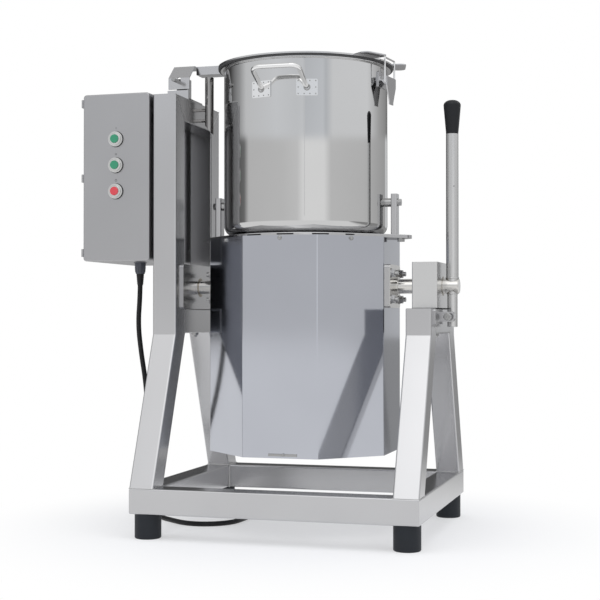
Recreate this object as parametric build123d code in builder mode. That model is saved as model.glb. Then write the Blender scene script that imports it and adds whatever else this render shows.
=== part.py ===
"""Tilting vertical bowl cutter for meat: a motor-driven 60 litre bowl carried on trunnions
between a tall left side frame and a low right side frame.

Frame: X to the right, Y to the back, Z up, origin on the floor under the middle of the base.
All lengths in millimetres.
"""
from build123d import *
import math
import os

os.makedirs("parts", exist_ok=True)

# ---------------------------------------------------------------- driving dimensions
# Welded frame of square tube
tube = 63.5              # outer width of the square tube
tube_corner = 4.0        # outer corner radius of the tube
base_width = 725.0       # X, over the base tubes
base_depth = 626.0       # Y, over the base tubes
post_depth = 327.0       # Y, over the two upright posts
bend_drop = 2.5          # from under the cross tubes to where the uprights lean out into the legs
goalpost_drop = 69.0     # from the bowl's rim down to the top of the tall left side frame
foot_height = 62.0
foot_diameter = 66.0
foot_inset = 36.0        # from the outer faces of the base to each foot's axis
foot_stud_diameter = 12.0
foot_stud_length = 30.0

# Trunnions and their bearing blocks
trunnion_height = 624.5
trunnion_diameter = 38.0
block_depth = 170.0      # Y
block_height = 116.0
axis_above_saddle = 57.0 # from the cross tubes' top, which carries the blocks, to the trunnions' axis
bush_wall = 6.0
running_clearance = 0.05 # radial, shaft in bush
cheek_depth = 250.0      # Y, plate inside the tall frame
cheek_thickness = 6.0
flange_width = 120.0     # Y, trunnion flange on the casing
flange_height = 110.0    # Z
flange_thickness = 8.0
flange_bolt_y = 96.0     # bolt spacing along Y
flange_bolt_z = 66.0     # bolt spacing along Z
flange_bolt_size = 12.0
block_nut = 10.0         # thread of the nuts under the cross tubes
block_nut_spacing = 120.0 # along Y
boss_diameter = 48.0
boss_length = 10.0

# Octagonal motor casing
casing_width = 461.0     # across flats
casing_drop = 420.5      # from the trunnions' axis down to the casing's lower edge
casing_rise = 122.5      # from the trunnions' axis up to the casing's upper edge
sheet = 2.0
bend_radius = 6.0
cover_thickness = 3.0

# Mounting plate between casing and bowl
plate_thickness = 8.5
plate_diameter = 420.0
ear_reach = 281.5        # from the axis to the tip of each ear
ear_radius = 30.0
stay_centre = 238.0      # from the axis to each stay post
stay_width = 16.0
stay_height = 106.0
stay_depth = 30.0
stay_bolt_rise = 84.5    # from the mounting plate up to the bolt through each stay
stay_bolt = 10.0
stay_spacer = 22.0       # diameter

# Bowl
bowl_diameter = 426.0
bowl_wall = 2.5
bowl_floor = 4.0
bowl_corner = 28.0
bowl_height = 433.5      # from the mounting plate to the rim
rim_flange = 9.0         # how far the rim turns out
rim_thickness = 3.0
handle_wire = 12.0
handle_bend = 20.0       # radius of the wire's two bends
handle_width = 118.0     # from foot to foot
handle_rise = 40.0       # from the feet up to the grip
handle_reach = 74.0      # from the feet out to the grip
handle_drop = 78.0       # from the rim down to the feet
handle_plate_width = 53.0
handle_plate_height = 41.0
handle_plate_thickness = 2.0
handle_angle = 271.0     # degrees about Z, from +X

# Lid
lid_diameter = 458.0
lid_thickness = 4.0
gasket_thickness = 4.0
gasket_width = 22.0
tab_angles = (329.0, 14.0)
tab_width = 80.0
tab_reach = 32.0
tab_thickness = 3.0
arm_front = -10.0         # Y
arm_width = 45.0          # Y
arm_height = 22.0
arm_inner_end = -150.0    # X, on the lid
hinge_rise = 47.0         # from the tall frame's top to the pin
hinge_pin_diameter = 10.0
hinge_pin_front = -104.0  # Y of the pin's front end
hinge_slot_rise = 8.0     # the pin's hole is a slot, so that the lid settles on its gasket
hinge_clearance = 0.05
leaf_front = -63.0        # Y of the hinge leaf's lowest part
leaf_width = 59.0         # X
leaf_drop = 19.0          # from the pin down to the leaf's lower edge
leaf_sheet = 3.0
pedestal_front = -40.0
pedestal_width = 30.0
pedestal_depth = 30.0
guard_height = 24.0       # upright part of the bracket in front of the hinge

# Toggle latch opposite the hinge
latch_angle = 352.0
latch_wire = 4.5
latch_pin = 5.0
latch_ear_spacing = 56.0  # over the bracket's two ears
latch_ear_sheet = 3.0
latch_side_gap = 0.5
latch_drop = 39.0         # from the rim down to the lever's pivot
latch_pivot_reach = 12.0  # from the bowl wall to the lever's pivot
latch_lever_length = 64.0 # from the pivot to the tip
latch_lever_tip = 26.0
latch_lever_sheet = 3.0
latch_lever_offset = 11.0 # from the pivot to the lever's inner face
latch_bracket_height = 40.0
latch_bracket_sheet = 2.0
bail_drop = 10.0          # from the lever's pivot down to the bail's
bail_rise = 15.0          # from the rim up to the top of the bail
bail_gap = 2.5            # between the bail and the lid's edge

# Motor, spindle and knives
motor_diameter = 236.0
motor_flange = 12.0
motor_length = 260.0
motor_fin_count = 28
motor_fin_height = 9.0
motor_fin_width = 4.0
end_bell_length = 55.0
cowl_height = 62.0
spindle_diameter = 40.0
spindle_housing_diameter = 96.0
housing_stand = 3.0       # housing above the bowl's floor
knife_radius = 196.0
knife_thickness = 4.0
knife_sweep = 62.0        # degrees that a knife bends back on its way out
knife_gap = 7.0           # lowest knife above the bowl floor
knife_pitch = 26.0        # height from one knife to the next
knife_bevel = 12.0
collar_gap = 1.0          # turning collar above the housing
knife_hub_diameter = 78.0
knife_nut_diameter = 56.0
knife_nut_height = 34.0

# Tilt lever
lever_tube = 31.5
lever_length = 385.5      # from the trunnions' axis to the tube's upper end
grip_length = 86.0
grip_diameter = 43.5
grip_foot = 31.0
grip_dome = 15.0          # rounding of the grip's upper end
lever_gap = 8.0           # between bearing block and the lever's tube
lower_rod_diameter = 26.0
lower_rod_length = 103.5  # from the trunnions' axis down
hub_overhang = 2.0

# Sprung stop of the tilt lever
stop_drop = 20.5          # from the cross tubes' top down to the plunger
plunger_diameter = 16.0
plunger_knob = 19.0
plunger_knob_length = 9.0
plunger_stand = 14.0      # knob in front of its arm
stop_arm_thickness = 20.0
stop_arm_height = 25.0
stop_arm_end = 400.0      # X of the arm's outer end
stop_arm_gap = 22.0       # between the arm and the lever's lower rod
stop_plate_length = 99.0
stop_plate_height = 37.0
stop_plate_thickness = 5.0
stop_clearance = 0.5

# Control box
box_width = 184.0
box_height = 433.0
box_depth = 300.0
box_drop = 429.0         # from the tall frame's top down to the box's floor
box_front = -160.0
box_sheet = 1.5
box_standoff = 5.0        # between the tall frame and the box
box_corner = 8.0
door_thickness = 16.0
door_sheet = 2.0
hinge_gap = 0.5          # between a knuckle and the edges of the box and its door
door_gap = 1.0
hinge_knuckle_diameter = 8.0
hinge_knuckle_length = 20.0
button_pitch = 67.5
button_first_drop = 118.0 # top of the door to the first button
button_diameter = 22.0
bezel_diameter = 31.0
bezel_height = 5.0
collar_diameter = 39.0
collar_thickness = 6.0
button_hole = 24.0        # in the door
button_stand = 3.0        # cap in front of its bezel
button_depth = 6.0        # cap behind the door's face
button_clearance = 0.3
contactor_width = 52.0
contactor_height = 84.0
contactor_depth = 50.0
contactor_pitch = 68.0
contactor_nose_width = 38.0
contactor_nose_height = 44.0
contactor_nose_depth = 26.0
terminal_height = 52.0
terminal_depth = 38.0
terminal_margin = 64.0    # box width less the terminal row's length
terminal_rows = 26.0      # height from one row of screws to the other
rail_height = 35.0
rail_depth = 7.5
contact_block_width = 34.0
contact_block_depth = 40.0
hinge_rod = 4.0
box_bolt = 8.0
gland_diameter = 28.0
gland_length = 30.0
gland_thread = 24.0

gland_x = -440.0
gland_y = -63.0

# Chrome guard tube under the lid's arm
guard_tube_diameter = 23.5
guard_tube_x = -271.0
guard_tube_y = 8.0
guard_tube_drop = 86.0    # from the tall frame's top down to the tube's lowest point
guard_tube_rise = 17.0    # from the hinge pin up to the tube's cap
guard_tube_slant = 14.0   # half of the height of the slanted lower end

# Mains cord: points of its middle line from the gland to the coil
cord_diameter = 13.0
coil_middle = (-261.0, 170.0)
coil_radius = 71.5
coil_start = 5.0          # degrees about Z
coil_turn = 660.0
tail_length = 75.0
plug_diameter = 40.0
plug_length = 62.0
tail_height = 20.0        # middle line of the tail and the plug above the floor

# ---------------------------------------------------------------- derived places
saddle_height = trunnion_height - axis_above_saddle
bend_height = saddle_height - tube - bend_drop
casing_bottom = trunnion_height - casing_drop
casing_top = trunnion_height + casing_rise
bowl_rim_height = casing_top + plate_thickness + bowl_height
goalpost_height = bowl_rim_height - goalpost_drop
hinge_pin_height = goalpost_height + hinge_rise
leaf_bottom = hinge_pin_height - leaf_drop
latch_pivot_height = bowl_rim_height - latch_drop
bail_top = bowl_rim_height + bail_rise
handle_foot_height = bowl_rim_height - handle_drop
lever_top = trunnion_height + lever_length
lower_rod_bottom = trunnion_height - lower_rod_length
stop_height = saddle_height - stop_drop
box_bottom = goalpost_height - box_drop
guard_tube_bottom = goalpost_height - guard_tube_drop
guard_tube_top = hinge_pin_height + guard_tube_rise
half_width = base_width / 2
half_depth = base_depth / 2
foot_spacing_x = base_width - 2 * foot_inset
foot_spacing_y = base_depth - 2 * foot_inset
frame_inner = half_width - tube          # X of the inner faces of both side frames
base_top = foot_height + tube
post_half = post_depth / 2
post_inner = post_half - tube
frame_middle = half_width - tube / 2
leg_lean = math.atan2(half_depth - post_half, bend_height - base_top)
leg_foot_width = tube / math.cos(leg_lean)
saddle_bottom = saddle_height - tube
casing_half = casing_width / 2
plate_top = casing_top + plate_thickness
bowl_radius = bowl_diameter / 2
bowl_bottom = plate_top
lid_bottom = bowl_rim_height + gasket_thickness
lid_top = lid_bottom + lid_thickness
block_middle = saddle_height + block_height / 2
bush_outer = trunnion_diameter / 2 + running_clearance + bush_wall
housing_top = bowl_bottom + bowl_floor + housing_stand
first_knife = bowl_bottom + bowl_floor + knife_gap
spindle_top = first_knife + knife_pitch + knife_thickness + knife_nut_height + 4
hinge_x = -frame_middle
lever_x = half_width + lever_gap + lever_tube / 2
box_right = -half_width - box_standoff
box_left = box_right - box_width
box_middle = (box_left + box_right) / 2
box_top = box_bottom + box_height
box_back = box_front + box_depth
door_front = box_front - door_thickness
cord_radius = cord_diameter / 2


def save(part, label):
    """Label a finished piece and write it as one STEP file."""
    part.label = label
    export_step(part, f"parts/{label}.step")


def radial_plane(angle, reach, height):
    """Plane facing outward at an angle about Z: x runs along the wall, y runs up."""
    turn = math.radians(angle)
    outward = Vector(math.cos(turn), math.sin(turn), 0)
    along = Vector(-math.sin(turn), math.cos(turn), 0)
    return Plane(origin=outward * reach + Vector(0, 0, height), x_dir=along, z_dir=outward)


def side_plane(x):
    """Plane across X: its x runs to the back (Y), its y runs up (Z)."""
    return Plane(origin=(x, 0, 0), x_dir=(0, 1, 0), z_dir=(1, 0, 0))


def front_plane(y):
    """Plane facing the front: its x runs to the right (X), its y runs up (Z)."""
    return Plane(origin=(0, y, 0), x_dir=(1, 0, 0), z_dir=(0, -1, 0))


# ---------------------------------------------------------------- welded frame
def build_base_frame():
    """Mitred rectangle of square tube."""
    with BuildPart() as base_frame:
        with BuildSketch(Plane.XY.offset(foot_height)):
            Rectangle(base_width, base_depth)
            Rectangle(base_width - 2 * tube, base_depth - 2 * tube, mode=Mode.SUBTRACT)
        extrude(amount=tube)
        long_edges = base_frame.edges().filter_by(Axis.X) + base_frame.edges().filter_by(Axis.Y)
        fillet(long_edges, radius=tube_corner)
        with BuildSketch(Plane.XY.offset(foot_height)):
            with GridLocations(foot_spacing_x, foot_spacing_y, 2, 2):
                Circle(foot_stud_diameter / 2)
        extrude(amount=foot_stud_length, mode=Mode.SUBTRACT)
    save(base_frame.part, "base_frame")


def leg_outline(top):
    """Closed outline of one side frame up to the given height, in (Y, Z)."""
    return [
        (-half_depth, base_top),
        (-post_half, bend_height),
        (-post_half, top),
        (post_half, top),
        (post_half, bend_height),
        (half_depth, base_top),
    ]


def leg_opening():
    """Open trapezium between the two legs, under the cross tube, in (Y, Z)."""
    foot_inner = half_depth - leg_foot_width
    lean = math.tan(leg_lean)
    top_inner = foot_inner - (saddle_bottom - base_top) * lean
    return [
        (-foot_inner, base_top),
        (-top_inner, saddle_bottom),
        (top_inner, saddle_bottom),
        (foot_inner, base_top),
    ]


def build_side_frame(label, inner_x, outward, top):
    """Side frame of bent uprights, cross tube and, on the tall one, a top tube."""
    with BuildPart() as side_frame:
        with BuildSketch(side_plane(inner_x)):
            with BuildLine():
                Polyline(*leg_outline(top), close=True)
            make_face()
            with BuildLine():
                Polyline(*leg_opening(), close=True)
            make_face(mode=Mode.SUBTRACT)
            if top > saddle_height:
                window_height = top - tube - saddle_height
                with Locations((0, saddle_height + window_height / 2)):
                    Rectangle(2 * post_inner, window_height, mode=Mode.SUBTRACT)
        extrude(amount=outward * tube)
        faces = side_frame.faces().filter_by(Axis.X)
        rims = faces.sort_by(Axis.X)[0].edges() + faces.sort_by(Axis.X)[-1].edges()
        rims = ShapeList(e for e in rims if e.center().Z > base_top + 1)
        fillet(rims, radius=tube_corner)
    save(side_frame.part, label)


def build_feet():
    """Four round rubber feet with their studs up into the base tubes."""
    with BuildPart() as rubber_feet:
        with BuildSketch():
            with GridLocations(foot_spacing_x, foot_spacing_y, 2, 2):
                Circle(foot_diameter / 2)
        extrude(amount=foot_height)
        rims = rubber_feet.edges().filter_by(GeomType.CIRCLE)
        fillet(rims.group_by(Axis.Z)[0], radius=4)
        with BuildSketch(Plane.XY.offset(foot_height)):
            with GridLocations(foot_spacing_x, foot_spacing_y, 2, 2):
                Circle(foot_stud_diameter / 2 - 0.3)
        extrude(amount=foot_stud_length - 1)
    save(rubber_feet.part, "rubber_feet")


def build_bearing_block(label, inner_x, outward):
    """Steel box on the cross tube, bored for the trunnion's bush."""
    with BuildPart() as bearing_block:
        with BuildSketch(side_plane(inner_x)):
            with Locations((0, block_middle)):
                Rectangle(block_depth, block_height)
        extrude(amount=outward * tube)
        fillet(bearing_block.edges().filter_by(Axis.Z), radius=3)
        with BuildSketch(side_plane(inner_x)):
            with Locations((0, trunnion_height)):
                Circle(bush_outer)
        extrude(amount=outward * tube, mode=Mode.SUBTRACT)
    save(bearing_block.part, label)


def build_cheek_plate():
    """Plate inside the tall frame, over both posts, with a hole for the trunnion."""
    with BuildPart() as cheek_plate:
        with BuildSketch(side_plane(-frame_inner)):
            with Locations((0, block_middle)):
                RectangleRounded(cheek_depth, block_height, 10)
            with Locations((0, trunnion_height)):
                Circle(bush_outer, mode=Mode.SUBTRACT)
        extrude(amount=cheek_thickness)
    save(cheek_plate.part, "left_cheek_plate")


def build_bushes():
    """Bronze bush in each bearing block."""
    spans = [
        (-half_width, tube + cheek_thickness),
        (frame_inner, tube),
    ]
    with BuildPart() as bushes:
        for start, length in spans:
            with BuildSketch(side_plane(start)):
                with Locations((0, trunnion_height)):
                    Circle(bush_outer)
                    Circle(trunnion_diameter / 2 + running_clearance, mode=Mode.SUBTRACT)
            extrude(amount=length)
    save(bushes.part, "trunnion_bushes")


def build_block_nuts():
    """Dome nuts under the cross tubes, on the studs that hold the bearing blocks down."""
    with BuildPart() as block_nuts:
        for side in (-1, 1):
            for y in (-block_nut_spacing / 2, block_nut_spacing / 2):
                with BuildSketch(Plane.XY.offset(saddle_bottom)):
                    with Locations((side * frame_middle, y)):
                        RegularPolygon(block_nut * 0.95, 6)
                extrude(amount=-block_nut * 0.6)
                with BuildSketch(Plane.XY.offset(saddle_bottom - block_nut * 0.6)):
                    with Locations((side * frame_middle, y)):
                        Circle(block_nut * 0.75)
                extrude(amount=-block_nut * 0.6, taper=24)
    save(block_nuts.part, "bearing_block_nuts")


build_base_frame()
build_side_frame("left_side_frame", -frame_inner, -1, goalpost_height)
build_side_frame("right_side_frame", frame_inner, 1, saddle_height)
build_feet()
build_bearing_block("left_bearing_block", -frame_inner, -1)
build_bearing_block("right_bearing_block", frame_inner, 1)
build_cheek_plate()
build_bushes()
build_block_nuts()


# ---------------------------------------------------------------- casing and mounting plate
def build_casing():
    """Octagonal sheet casing round the motor, open below and above."""
    height = casing_top - casing_bottom
    inner_width = casing_width - 2 * sheet
    with BuildPart() as motor_casing:
        with BuildSketch(Plane.XY.offset(casing_bottom)) as outer:
            RegularPolygon(casing_half, 8, major_radius=False, rotation=22.5)
            fillet(outer.vertices(), radius=bend_radius)
        extrude(amount=height)
        with BuildSketch(Plane.XY.offset(casing_bottom)) as inner:
            RegularPolygon(inner_width / 2, 8, major_radius=False, rotation=22.5)
            fillet(inner.vertices(), radius=bend_radius - sheet)
        extrude(amount=height, mode=Mode.SUBTRACT)
        with BuildSketch(side_plane(0)):
            with Locations((0, trunnion_height)):
                with GridLocations(flange_bolt_y, flange_bolt_z, 2, 2):
                    Circle(flange_bolt_size / 2 + 0.3)
        extrude(amount=casing_width, both=True, mode=Mode.SUBTRACT)
    save(motor_casing.part, "motor_casing")


def build_bottom_cover():
    """Flat octagonal cover under the casing, with a screwed tab at the front."""
    with BuildPart() as bottom_cover:
        with BuildSketch(Plane.XY.offset(casing_bottom - cover_thickness)) as outline:
            RegularPolygon(casing_half, 8, major_radius=False, rotation=22.5)
            fillet(outline.vertices(), radius=bend_radius)
        extrude(amount=cover_thickness)
        with BuildSketch(Plane.XY.offset(casing_bottom - cover_thickness)):
            with PolarLocations(casing_half * 0.62, 6):
                SlotOverall(46, 7, rotation=90)
        extrude(amount=cover_thickness, mode=Mode.SUBTRACT)
    save(bottom_cover.part, "casing_bottom_cover")


def build_mounting_plate():
    """Oval plate on the casing: a disc under the bowl with an ear at each side."""
    with BuildPart() as mounting_plate:
        with BuildSketch(Plane.XY.offset(casing_top)):
            with BuildSketch(mode=Mode.PRIVATE) as lobes:
                Circle(plate_diameter / 2)
                with Locations((ear_reach - ear_radius, 0), (ear_radius - ear_reach, 0)):
                    Circle(ear_radius)
            make_hull(lobes.edges())
            Circle(spindle_housing_diameter / 2 + 0.3, mode=Mode.SUBTRACT)
        extrude(amount=plate_thickness)
        fillet(mounting_plate.faces().sort_by(Axis.Z)[-1].outer_wire().edges(), radius=1.5)
    save(mounting_plate.part, "bowl_mounting_plate")


def build_trunnion(label, side, outer_x):
    """Bolted flange, boss and shaft of one trunnion."""
    with BuildPart() as trunnion:
        with BuildSketch(side_plane(side * casing_half)):
            with Locations((0, trunnion_height)):
                RectangleRounded(flange_width, flange_height, 8)
                with GridLocations(flange_bolt_y, flange_bolt_z, 2, 2):
                    Circle(flange_bolt_size / 2 + 0.3, mode=Mode.SUBTRACT)
        extrude(amount=side * flange_thickness)
        with BuildSketch(side_plane(side * (casing_half + flange_thickness))):
            with Locations((0, trunnion_height)):
                Circle(boss_diameter / 2)
        extrude(amount=side * boss_length)
        with BuildSketch(side_plane(side * casing_half)):
            with Locations((0, trunnion_height)):
                Circle(trunnion_diameter / 2)
        extrude(amount=side * (outer_x - casing_half))
        tip = trunnion.edges().filter_by(GeomType.CIRCLE).sort_by(Axis.X)
        chamfer(tip[-1] if side > 0 else tip[0], length=2)
    save(trunnion.part, label)


def build_flange_bolts():
    """Hexagon bolts, washers and nuts through both trunnion flanges."""
    head = flange_bolt_size * 0.65
    washer = 2.5
    with BuildPart() as flange_bolts:
        for side in (-1, 1):
            seat = side * (casing_half + flange_thickness)
            inside = side * (casing_half - sheet)
            layers = [
                (seat, flange_bolt_size, washer, 0),
                (seat + side * washer, flange_bolt_size * 0.95, head, 6),
                (seat + side * (washer + head), flange_bolt_size / 2, head, 0),
                (inside, flange_bolt_size * 0.95, -head, 6),
                (inside, flange_bolt_size / 2, flange_thickness + sheet, 0),
            ]
            for start, radius, length, corners in layers:
                with BuildSketch(side_plane(start)):
                    with Locations((0, trunnion_height)):
                        with GridLocations(flange_bolt_y, flange_bolt_z, 2, 2):
                            if corners:
                                RegularPolygon(radius, corners)
                            else:
                                Circle(radius)
                extrude(amount=side * length)
    save(flange_bolts.part, "trunnion_flange_bolts")


def build_stay_posts():
    """Flat stays that stand on the plate's ears and hold the bowl's sides."""
    with BuildPart() as stay_posts:
        for side in (-1, 1):
            with BuildSketch(Plane.XY.offset(plate_top)):
                with Locations((side * stay_centre, 0)):
                    RectangleRounded(stay_width, stay_depth, 3)
            extrude(amount=stay_height)
        with BuildSketch(side_plane(0)):
            with Locations((0, plate_top + stay_bolt_rise)):
                Circle(stay_bolt / 2 + running_clearance)
        extrude(amount=2 * stay_centre, both=True, mode=Mode.SUBTRACT)
    save(stay_posts.part, "stay_posts")


def build_stay_bolts():
    """Bolt through each stay into the round pad on the bowl's wall, and the nut under each ear."""
    post_outer = stay_centre + stay_width / 2
    head = stay_bolt * 0.65
    with BuildPart() as stay_bolts:
        for side in (-1, 1):
            layers = [
                (bowl_radius - 4, stay_spacer / 2, stay_centre - stay_width / 2 - bowl_radius + 4, 0),
                (bowl_radius, stay_bolt / 2, post_outer - bowl_radius + head, 0),
                (post_outer, stay_bolt, 2, 0),
                (post_outer + 2, stay_bolt * 0.95, head, 6),
            ]
            for start, radius, length, corners in layers:
                with BuildSketch(side_plane(side * start)):
                    with Locations((0, plate_top + stay_bolt_rise)):
                        if corners:
                            RegularPolygon(radius, corners)
                        else:
                            Circle(radius)
                extrude(amount=side * length)
        add(Cylinder(bowl_radius, 4 * bowl_rim_height, mode=Mode.PRIVATE), mode=Mode.SUBTRACT)
        with BuildSketch(Plane.XY.offset(casing_top)):
            with Locations((-stay_centre - stay_width, 0), (stay_centre + stay_width, 0)):
                RegularPolygon(stay_bolt * 0.95, 6)
        extrude(amount=-stay_bolt * 0.8)
    save(stay_bolts.part, "stay_bolts")


# ---------------------------------------------------------------- bowl
def build_bowl():
    """Deep round bowl with rounded bottom corner, turned-out rim and a hole for the spindle."""
    inner_radius = bowl_radius - bowl_wall
    inner_corner = bowl_corner - bowl_wall
    hole = spindle_housing_diameter / 2 + 0.3
    with BuildPart() as bowl:
        with BuildSketch(Plane.XZ):
            with BuildLine():
                Polyline(
                    (hole, bowl_bottom + bowl_floor),
                    (hole, bowl_bottom),
                    (bowl_radius - bowl_corner, bowl_bottom),
                )
                RadiusArc(
                    (bowl_radius - bowl_corner, bowl_bottom),
                    (bowl_radius, bowl_bottom + bowl_corner),
                    -bowl_corner,
                )
                Polyline(
                    (bowl_radius, bowl_bottom + bowl_corner),
                    (bowl_radius, bowl_rim_height - rim_thickness),
                    (bowl_radius + rim_flange, bowl_rim_height - rim_thickness),
                    (bowl_radius + rim_flange, bowl_rim_height),
                    (inner_radius, bowl_rim_height),
                    (inner_radius, bowl_bottom + bowl_floor + inner_corner),
                )
                RadiusArc(
                    (inner_radius, bowl_bottom + bowl_floor + inner_corner),
                    (inner_radius - inner_corner, bowl_bottom + bowl_floor),
                    inner_corner,
                )
                Line(
                    (inner_radius - inner_corner, bowl_bottom + bowl_floor),
                    (hole, bowl_bottom + bowl_floor),
                )
            make_face()
        revolve(axis=Axis.Z)
    save(bowl.part, "bowl")


def build_handle(label, angle):
    """Rod handle welded to two small plates on the bowl's wall."""
    plate_turn = math.degrees(handle_width / 2 / bowl_radius)
    foot_reach = bowl_radius + handle_plate_thickness
    half_plate = handle_plate_width / 2
    wall_drop = 1 + bowl_radius - math.sqrt(bowl_radius**2 - half_plate**2)
    feet = []
    for turn in (-plate_turn, plate_turn):
        spot = radial_plane(angle + turn, foot_reach, handle_foot_height)
        feet.append(spot)
    top = radial_plane(angle, foot_reach + handle_reach, handle_foot_height + handle_rise)
    half_top = handle_width / 2
    corners = [
        feet[0].origin - feet[0].z_dir * handle_wire / 2,
        top.origin - top.x_dir * half_top,
        top.origin + top.x_dir * half_top,
        feet[1].origin - feet[1].z_dir * handle_wire / 2,
    ]
    with BuildPart() as handle:
        with BuildLine() as route:
            FilletPolyline(*corners, radius=handle_bend)
        with BuildSketch(Plane(origin=route.line @ 0, z_dir=route.line % 0)):
            Circle(handle_wire / 2)
        sweep()
        for spot in feet:
            with BuildSketch(spot.offset(-handle_plate_thickness - wall_drop)):
                RectangleRounded(handle_plate_width, handle_plate_height, 3)
            extrude(amount=handle_plate_thickness + wall_drop)
        cylinder = Cylinder(bowl_radius, 4 * bowl_rim_height, mode=Mode.PRIVATE)
        add(cylinder, mode=Mode.SUBTRACT)
    save(handle.part, label)


build_casing()
build_bottom_cover()
build_mounting_plate()
build_trunnion("left_trunnion", -1, half_width)
build_trunnion("right_trunnion", 1, lever_x + lever_tube / 2 + hub_overhang)
build_flange_bolts()
build_stay_posts()
build_stay_bolts()
build_bowl()
build_handle("front_handle", handle_angle)
build_handle("rear_handle", handle_angle - 180)


# ---------------------------------------------------------------- motor and spindle
def build_motor():
    """Finned motor hung from the mounting plate, with end bell and fan cowl."""
    flange_radius = motor_diameter / 2 + 32
    body_top = casing_top - motor_flange
    body_bottom = body_top - motor_length
    core_radius = motor_diameter / 2 - motor_fin_height
    bore = spindle_diameter / 2 + 3
    with BuildPart() as motor_body:
        with BuildSketch(Plane.XY.offset(body_bottom)):
            Circle(core_radius)
            with PolarLocations(core_radius, motor_fin_count):
                with Locations((motor_fin_height / 2 - 1, 0)):
                    Rectangle(motor_fin_height + 2, motor_fin_width)
            Circle(bore, mode=Mode.SUBTRACT)
        extrude(amount=motor_length)
        with BuildSketch(Plane.XY.offset(body_top)):
            Circle(flange_radius)
            Circle(spindle_diameter / 2 + running_clearance, mode=Mode.SUBTRACT)
        extrude(amount=motor_flange)
    save(motor_body.part, "motor_body")

    with BuildPart() as end_bell:
        with BuildSketch(Plane.XY.offset(body_bottom)):
            Circle(motor_diameter / 2)
        extrude(amount=-end_bell_length, taper=14)
        with BuildSketch(Plane.XY.offset(body_bottom)):
            Circle(spindle_diameter / 2 + running_clearance)
        extrude(amount=-end_bell_length * 0.6, mode=Mode.SUBTRACT)
    save(end_bell.part, "motor_end_bell")

    cowl_top = body_bottom - end_bell_length
    with BuildPart() as fan_cowl:
        with BuildSketch(Plane.XY.offset(cowl_top)):
            Circle(motor_diameter / 2 - 16)
        extrude(amount=-cowl_height)
        fillet(fan_cowl.faces().sort_by(Axis.Z)[0].edges(), radius=8)
        with BuildSketch(Plane.XY.offset(cowl_top - cowl_height)):
            with PolarLocations(62, 12):
                SlotOverall(44, 7, rotation=0)
        extrude(amount=6, mode=Mode.SUBTRACT)
    save(fan_cowl.part, "motor_fan_cowl")


def build_spindle():
    """Bearing housing through the bowl's floor and the shaft that runs in it."""
    with BuildPart() as spindle_housing:
        with BuildSketch(Plane.XY.offset(casing_top)):
            Circle(spindle_housing_diameter / 2)
            Circle(spindle_diameter / 2 + running_clearance, mode=Mode.SUBTRACT)
        extrude(amount=housing_top - casing_top)
        rim = spindle_housing.faces().sort_by(Axis.Z)[-1].outer_wire().edges()
        chamfer(rim, length=1.5)
    save(spindle_housing.part, "spindle_housing")

    shaft_bottom = casing_top - motor_flange - motor_length - end_bell_length * 0.5
    with BuildPart() as spindle:
        with BuildSketch(Plane.XY.offset(shaft_bottom)):
            Circle(spindle_diameter / 2)
        extrude(amount=spindle_top - shaft_bottom)
        chamfer(spindle.faces().sort_by(Axis.Z)[-1].edges(), length=2)
    save(spindle.part, "spindle")


def polar(radius, angle):
    """Point in the plane at a radius and an angle in degrees."""
    return (radius * math.cos(math.radians(angle)), radius * math.sin(math.radians(angle)))


def build_knife(label, level, turn):
    """Two-armed sickle knife: each arm sweeps back and its leading edge is ground to a bevel."""
    root = knife_hub_diameter / 2 - 3
    bevel_depth = knife_thickness - 0.8
    with BuildPart() as knife:
        with BuildSketch(Plane.XY.offset(level)):
            Circle(knife_hub_diameter / 2)
            for start in (turn, turn + 180):
                with BuildLine():
                    ThreePointArc(
                        polar(root, start + knife_sweep),
                        polar(knife_radius * 0.62, start + knife_sweep * 0.48),
                        polar(knife_radius, start - knife_sweep * 0.3),
                    )
                    ThreePointArc(
                        polar(knife_radius, start - knife_sweep * 0.3),
                        polar(knife_radius * 0.6, start - knife_sweep * 0.02),
                        polar(root, start - knife_sweep * 0.5),
                    )
                    Line(polar(root, start - knife_sweep * 0.5), polar(root, start + knife_sweep))
                make_face()
            Circle(spindle_diameter / 2 + running_clearance, mode=Mode.SUBTRACT)
        extrude(amount=knife_thickness)
        top_edges = knife.faces().sort_by(Axis.Z)[-1].edges()
        cutting = top_edges.filter_by(GeomType.CIRCLE).sort_by(lambda edge: edge.length)[-2:]
        chamfer(cutting, length=bevel_depth, length2=knife_bevel)
    save(knife.part, label)


def build_knife_stack():
    """Two collars, two crossed knives and the nut on the spindle."""
    bore = spindle_diameter / 2 + running_clearance
    rings = [
        (housing_top + collar_gap, first_knife - housing_top - collar_gap),
        (first_knife + knife_thickness, knife_pitch - knife_thickness),
    ]
    with BuildPart() as collars:
        for level, height in rings:
            with BuildSketch(Plane.XY.offset(level)):
                Circle(knife_hub_diameter / 2)
                Circle(bore, mode=Mode.SUBTRACT)
            extrude(amount=height)
    save(collars.part, "knife_collars")
    build_knife("lower_knife", first_knife, 0)
    build_knife("upper_knife", first_knife + knife_pitch, 90)
    nut_bottom = first_knife + knife_pitch + knife_thickness
    with BuildPart() as knife_nut:
        with BuildSketch(Plane.XY.offset(nut_bottom)):
            Circle(knife_hub_diameter / 2)
            Circle(bore, mode=Mode.SUBTRACT)
        extrude(amount=6)
        with BuildSketch(Plane.XY.offset(nut_bottom + 6)):
            RegularPolygon(knife_nut_diameter / 2, 6)
            Circle(bore, mode=Mode.SUBTRACT)
        extrude(amount=knife_nut_height - 6)
    save(knife_nut.part, "knife_nut")


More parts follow.
